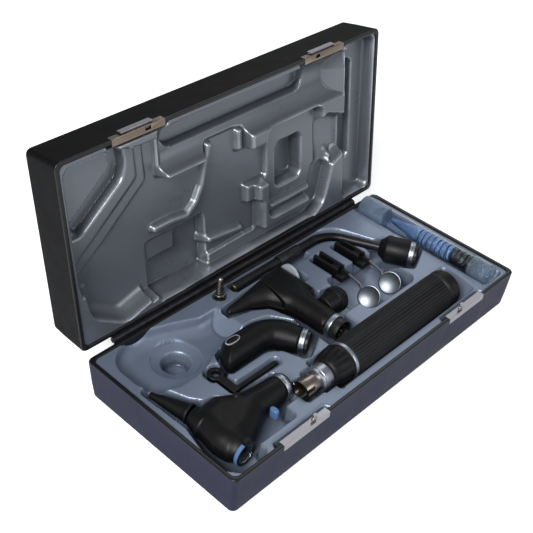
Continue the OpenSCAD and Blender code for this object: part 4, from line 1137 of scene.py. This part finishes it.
makePiece("nasalHead", softMesh("nasalHead", [
    pillowMesh("nasalPod", nasal["outline"], nasalTop, nasalHeight),
    coneMesh(level(-1.5, -15.5), level(-1.5, 2), 9.7, 10.3)], 0.38, 3), "nasal",
    "blackPlastic", ["nasal_body"])
makePiece("nasalBlade", softMesh("nasalBlade", [
    pillowMesh("blade", nasal["outline"], bladeTop, bladeFoot,
               lambda x: x < nasal["split"] - 0.5)], 0.32, 1), "nasal_upper", "blackPlastic",
    ["nasal_blade"])
headRing("nasalRing", level(-0.7, -15.55), (0, -1, 0), "nasal", "nasal_ring")
turnedPiece("thumbWheel", [
    (0, 0), (0, 7.6), (0.4, 8.0), (9.8, 9.2), (10.6, 9.4), (11.0, 10.1), (11.6, 10.4),
    (16.2, 10.4), (17.2, 10.2), (19.4, 8.6), (21.6, 6.4), (22.5, 5.4), (22.8, 4.8),
    (22.8, 0)], level(9.2, 1.5), xAxis, "nasal_wheel", "blackPlastic", ["nasal_knob"], 168,
    knurl, ring=False)

# the curved light bends round one point, then runs straight into its ring
bend = {"x": -55.4, "y": -8.25, "radius": 20, "angle": math.radians(63.4), "run": 14.05}
bendSide = Vector((math.sin(bend["angle"]), math.cos(bend["angle"]), 0))
bendDirection = Vector((bendSide.y, -bendSide.x, 0))
tongueFoot = (Vector(level(bend["x"], bend["y"])) + bend["radius"] * bendSide
              + bend["run"] * bendDirection)


def bendPoints(radius, angles, r):
    return [(bend["x"] + radius * math.cos(math.radians(a)),
             bend["y"] + radius * math.sin(math.radians(a)), r) for a in angles]


tongueOutline = ([(-91.8, 0.4, 3), (-91.4, 7, 4), (-88, 15, 6), (-79.5, 22, 8), (-72, 23.1, 10)]
                 + bendPoints(31.4, (90, 77, 64, 51, 38, 28), 8)
                 + [(-22.4, -7.2, 0.5), (-40.0, -16.2, 0.5)]
                 + bendPoints(8.6, (26.6, 48, 69, 90), 3))


def tongueHeight(x, y, d):
    return (swell(d, 11.4, 11.6) * np.interp(y, [-16, -2], [0.88, 1.0])
            * np.interp(x, [-92, -84], [0.86, 1.0]))


makePiece("tongueLight", softMesh("tongueLight", [
    pillowMesh("tonguePod", tongueOutline, tongueHeight, tongueHeight),
    coneMesh(tongueFoot, tongueFoot - bendDirection * 9, 9.9, 10.6)], 0.5, 8),
    "tongue_light", "blackPlastic", ["tongue_light_body"])
tab = {"x": -77.0, "y": 13.2, "z": 43.6, "half": 6.2, "round": 2.9}
makePiece("switchTab", ringMesh("switchTab", ovalLoops(tab, (
    (0, 0.3), (0.8, 0.3), (1.05, 0.6), (1.15, 1.2), (1.18, 2.2))), capped=True),
    "tongue_light", "blackMetal", ["tongue_light_tab"])
makePiece("switchTabEdge", ringMesh("switchTabEdge", ovalLoops(tab, (
    (0.1, 0.25), (0.1, -0.25), (0.85, -0.25), (1.1, -0.05), (1.1, 0.25))), around=True),
    "tongue_light", "paleTab")
headRing("tongueRing", tongueFoot, bendDirection, "tongue_light", "tongue_light_ring")

arm = {"y": 63.2, "turn": math.radians(-63), "ring": (113.7, -1.2), "holder": 25}
turnedPiece("armTip", roundRod(1.6, 3.0, 0.4), level(-26.8, arm["y"]), xAxis, "arm_light",
            "brass", steps=32, ring=False)
turnedPiece("armSleeve", collarRing(24, 4.6, 3.7, 0.5), level(24, arm["y"]), xAxis,
            "arm_light", "blackMetal", ["arm_light_sleeve"], 48)
armDirection = Vector((math.cos(arm["turn"]), math.sin(arm["turn"]), 0))
armRing = Vector(level(*arm["ring"]))
turnedPiece("armHolder", [
    (0, 3.7), (0, 6.0), (0.4, 6.6), (5.6, 10.9), (6.2, 11.3), (7.0, 11.5), (24.4, 11.15),
    (24.8, 11.0), (25.0, 10.7), (25.0, 3.7)], armRing - arm["holder"] * armDirection,
    armDirection, "arm_light", "blackPlastic", ["arm_light_holder"], 72)
ringAt = armRing + 0.05 * armDirection
headRing("armRing", ringAt, armDirection, "arm_light", "arm_light_ring", 10.6)

# bright contact pins inside the four connector ends: place, direction, body, length
pins = {"otoscopePins": (level(-75.6, -34), xAxis, "otoscope", 2.2),
        "nasalPins": (level(-0.7, -19.0), (0, -1, 0), "nasal", 5.6),
        "tonguePins": (tongueFoot + bendDirection * 3.4, bendDirection, "tongue_light", 2.2),
        "armPins": (ringAt + armDirection * 3.4, armDirection, "arm_light", 2.2)}
for name, (at, direction, body, reach) in pins.items():
    seed = latheMesh(name, [(0, 0), (0, 0.9), (reach - 0.3, 0.9), (reach, 0.5), (reach, 0)],
                     (0, 4.6, 0), xAxis, 16)
    makePiece(name, repeated(name, seed, roundTree, {
        "Count": 3, "Start Angle": 0.5, "Finish": finishes["brass"]},
        frameAlong(at, direction)), body, "brass")
print("heads made")

mirrors = {"y": -13.0, "z": 31.2, "tilt": math.radians(58.0), "heading": math.radians(20.0),
           "left": (47, 52, "mirror_one"), "right": (73, 78, "mirror_two")}
tilt, heading = mirrors["tilt"], mirrors["heading"]
facing = Vector((-math.sin(tilt) * math.cos(heading), -math.sin(tilt) * math.sin(heading),
                 math.cos(tilt)))
# one clip: its foot, two jaws, the bridge and the stem's seat, from the clip's x
clipBoxes = ((-4.7, 4.9, 15, 46.2, 27.4, 31.8), (-4.7, -2.2, 21, 46.2, 31, 37.3),
             (2.4, 4.9, 21, 46.2, 31, 37.3), (-4.7, 4.9, 24, 30, 31, 35.6),
             (2.2, 4.9, 15, 22, 31, 33.6))
for side in ("left", "right"):
    x, clipX, body = mirrors[side]
    path = bentPath(Vector((clipX + 3.6, 14.95, 32.2)), Vector((clipX + 4.5, -2, 32.2)),
                    Vector((x - 1.1, mirrors["y"] + 6, 32.9)), 5.0, 6)
    makePiece(side + "MirrorStem", sweepMesh("stem", path, 1.0, 16), body, "nickel")
    turnedPiece(side + "ThroatMirror", [
        (-0.9, 0), (-0.9, 8.0), (-0.7, 8.9), (-0.2, 9.3), (0.4, 9.3), (0.8, 9.05),
        (0.9, 8.6), (0.72, 8.3), (0.6, 8.1), (0.6, 0)], (x, mirrors["y"], mirrors["z"]),
        facing, body, "mirror", ["mirror_" + side], 80, ring=False)
    clip = [boxMesh(clipX + x0, clipX + x1, *rest) for x0, x1, *rest in clipBoxes]
    makePiece(side + "MirrorClip", softMesh(side + "MirrorClip", clip, 0.35, 4), body,
              "blackPlastic", ["mirror_clip_" + side])

lampAt = (-41, 63, 22.2)
turnedPiece("lampCap", [
    (0, 0), (0, 3.0), (0.5, 3.55), (9.5, 3.6), (10.0, 3.3), (10.5, 3.3), (11.0, 3.6),
    (11.9, 3.6), (12.1, 4.0), (12.5, 4.1), (13.2, 4.1), (13.5, 3.8), (13.7, 2.9), (14.6, 2.8),
    (14.9, 3.0), (15.4, 3.0), (15.7, 2.8), (16.8, 2.8), (17.1, 3.0), (17.6, 3.0), (17.9, 2.8),
    (21.6, 2.75), (22.1, 2.5), (22.3, 2.0), (22.3, 0)], lampAt, zAxis, "lamp", "warmNickel",
    ["lamp_base"], 48, ring=False)
turnedPiece("lampBulb", [
    (22.35, 0), (22.35, 2.3), (23.5, 2.4), (26, 2.4), (27.4, 2.1), (28.4, 1.5), (28.9, 0.8),
    (29.1, 0)], lampAt, zAxis, "lamp", "warmNickel", ["lamp_glass"], 40, ring=False)

# the tube of ear specula; its stack of cups starts at firstCup and runs forward
tube = {"x": 138.0, "z": 35.2, "pitch": 4.6, "firstCup": 8.5, "blue": 8, "black": 4,
        "cup": [(0, 6.0), (0, 6.7), (0.25, 6.9), (3.2, 6.95), (3.5, 6.8), (3.5, 6.1),
                (3.3, 5.95), (0.2, 5.9)]}
forward = (0, -1, 0)


def alongTube(y):
    return (tube["x"], y, tube["z"])


def capShape(length, ribs):
    # a clear cap with a domed end and a few thread ridges
    outside = [(0, 0), (0, 6.6), (0.3, 7.8), (0.9, 8.5), (1.8, 8.8)]
    for k in range(ribs):
        at = 4 + k * 2.2
        outside += [(at, 8.8), (at + 0.3, 8.55), (at + 0.8, 8.55), (at + 1.1, 8.8)]
    return outside + [(length - 0.2, 8.8), (length, 8.65), (length, 8.3), (1.6, 8.28),
                      (1.4, 7.6), (1.4, 0)]


turnedPiece("tubeBarrel", collarRing(96, 8.2, 7.35, 0.15), alongTube(45.5), forward, "tube",
            "clear", ["tube_barrel"], 80)
turnedPiece("tubeCapBack", capShape(26, 2), alongTube(67.5), forward, "cap_back", "frosted",
            ["tube_cap_back"], 80, ring=False)
turnedPiece("tubeCapFront", capShape(17, 5), alongTube(-63.5), yAxis, "cap_front", "frosted",
            ["tube_cap_front"], 80, ring=False)
start = tube["firstCup"]
for colour in ("blue", "black"):
    cup = latheMesh(colour + "Cup", tube["cup"], (0, 0, 0), forward, 40, ring=True)
    cups = repeated(colour + "Cups", cup, lineTree, {
        "Count": tube[colour], "Step": (0, -tube["pitch"] * mm, 0),
        "Finish": finishes[colour + "Specula"]},
        Matrix.Translation(Vector(alongTube(start)) * mm))
    makePiece(colour + "SpeculumCups", cups, "tube", colour + "Specula", [colour + "_specula"])
    start -= tube[colour] * tube["pitch"]
turnedPiece("speculumCone", [
    (0, 5.8), (0, 6.4), (3, 6.2), (7, 5.5), (16, 3.8), (26.6, 2.0), (27, 1.7), (27, 1.2),
    (14, 3.3), (6, 4.9)], alongTube(8.7), yAxis, "tube", "blueSpecula", steps=48)
makePiece("bulbKey", softMesh("bulbKey", [nodeMesh("bulb_key")], 0.4, 5), "key", "blackMetal",
          ["bulb_key"])
print("small parts made")

stage = {"floorSize": 6.0, "floorColour": "#f6f7f9", "floorGlow": 0.5, "keyPower": 82.0,
         "fillPower": 7.0, "backPower": 9.0, "ambient": 0.28}
half = stage["floorSize"] / 2
floorMesh = bpy.data.meshes.new("studioFloor")
floorMesh.from_pydata([(-half, -half, 0), (half, -half, 0), (half, half, 0), (-half, half, 0)],
                      [], [(0, 1, 2, 3)])
paper = bpy.data.materials.new("studioPaper")
paper.use_nodes = True
tree = paper.node_tree
shader = tree.nodes["Principled BSDF"]
feed(tree, shader, {"Base Color": srgb(stage["floorColour"]), "Roughness": 0.9,
                    "Specular IOR Level": 0.1})
rays = addNode(tree, "ShaderNodeLightPath").outputs
glow = addNode(tree, "ShaderNodeEmission", {"Strength": stage["floorGlow"]})
bright = addNode(tree, "ShaderNodeAddShader", {0: shader.outputs[0], 1: glow.outputs[0]})
pick = addNode(tree, "ShaderNodeMixShader", {
    0: rays["Is Camera Ray"], 1: shader.outputs[0], 2: bright.outputs[0]})
feed(tree, tree.nodes["Material Output"], {"Surface": pick.outputs[0]})
floorMesh.materials.append(paper)
linked("studioFloor", floorMesh)

# a white background for the camera, and a soft blue-white light for the rest
scene = bpy.context.scene
scene.world = scene.world or bpy.data.worlds.new("studio")
scene.world.use_nodes = True
tree = scene.world.node_tree
tree.nodes.clear()
rays = addNode(tree, "ShaderNodeLightPath").outputs
seen = mathNode(tree, "MAXIMUM", rays["Is Camera Ray"], rays["Is Transmission Ray"])
ambient = addNode(tree, "ShaderNodeBackground", {
    "Color": (0.93, 0.96, 1.0, 1), "Strength": stage["ambient"]})
white = addNode(tree, "ShaderNodeBackground", {"Color": (1, 1, 1, 1), "Strength": 1.0})
sky = addNode(tree, "ShaderNodeMixShader", {
    0: seen, 1: ambient.outputs[0], 2: white.outputs[0]})
addNode(tree, "ShaderNodeOutputWorld", {"Surface": sky.outputs[0]})


def addLight(name, at, target, size, power, colour=(1, 1, 1)):
    lamp = bpy.data.lights.new(name, "AREA")
    lamp.shape, lamp.size, lamp.energy, lamp.color = "SQUARE", size, power, colour
    obj = linked(name, lamp)
    obj.location, obj.rotation_mode = at, "QUATERNION"
    obj.rotation_quaternion = (Vector(at) - Vector(target)).to_track_quat("Z", "Y")


addLight("keySoftbox", (-2.0, -0.7, 1.9), (0, 0.02, 0.05), 1.1, stage["keyPower"])
addLight("fillSoftbox", (0.6, -1.6, 1.0), (0, 0.02, 0.08), 0.9, stage["fillPower"],
         (0.95, 0.97, 1.0))
addLight("backSoftbox", (1.5, 1.2, 1.7), (0.05, 0.0, 0.05), 1.3, stage["backPower"])

lensData = {"at": (-447.1158, -329.5155, 509.8663), "focalPixels": 968.736, "pixels": 533,
            "turn": (0.83361973, 0.38796834, -0.20010554, -0.33840283), "sensor": 36.0}
camera = bpy.data.cameras.new("productCamera")
camera.sensor_width = lensData["sensor"]
camera.lens = lensData["focalPixels"] * lensData["sensor"] / lensData["pixels"]
camera.clip_start, camera.clip_end = 0.02, 20
scene.camera = linked("productCamera", camera)
scene.camera.location = Vector(lensData["at"]) * mm
scene.camera.rotation_mode = "QUATERNION"
scene.camera.rotation_quaternion = Quaternion(lensData["turn"])
scene.view_settings.view_transform = "Standard"
print("stage set")
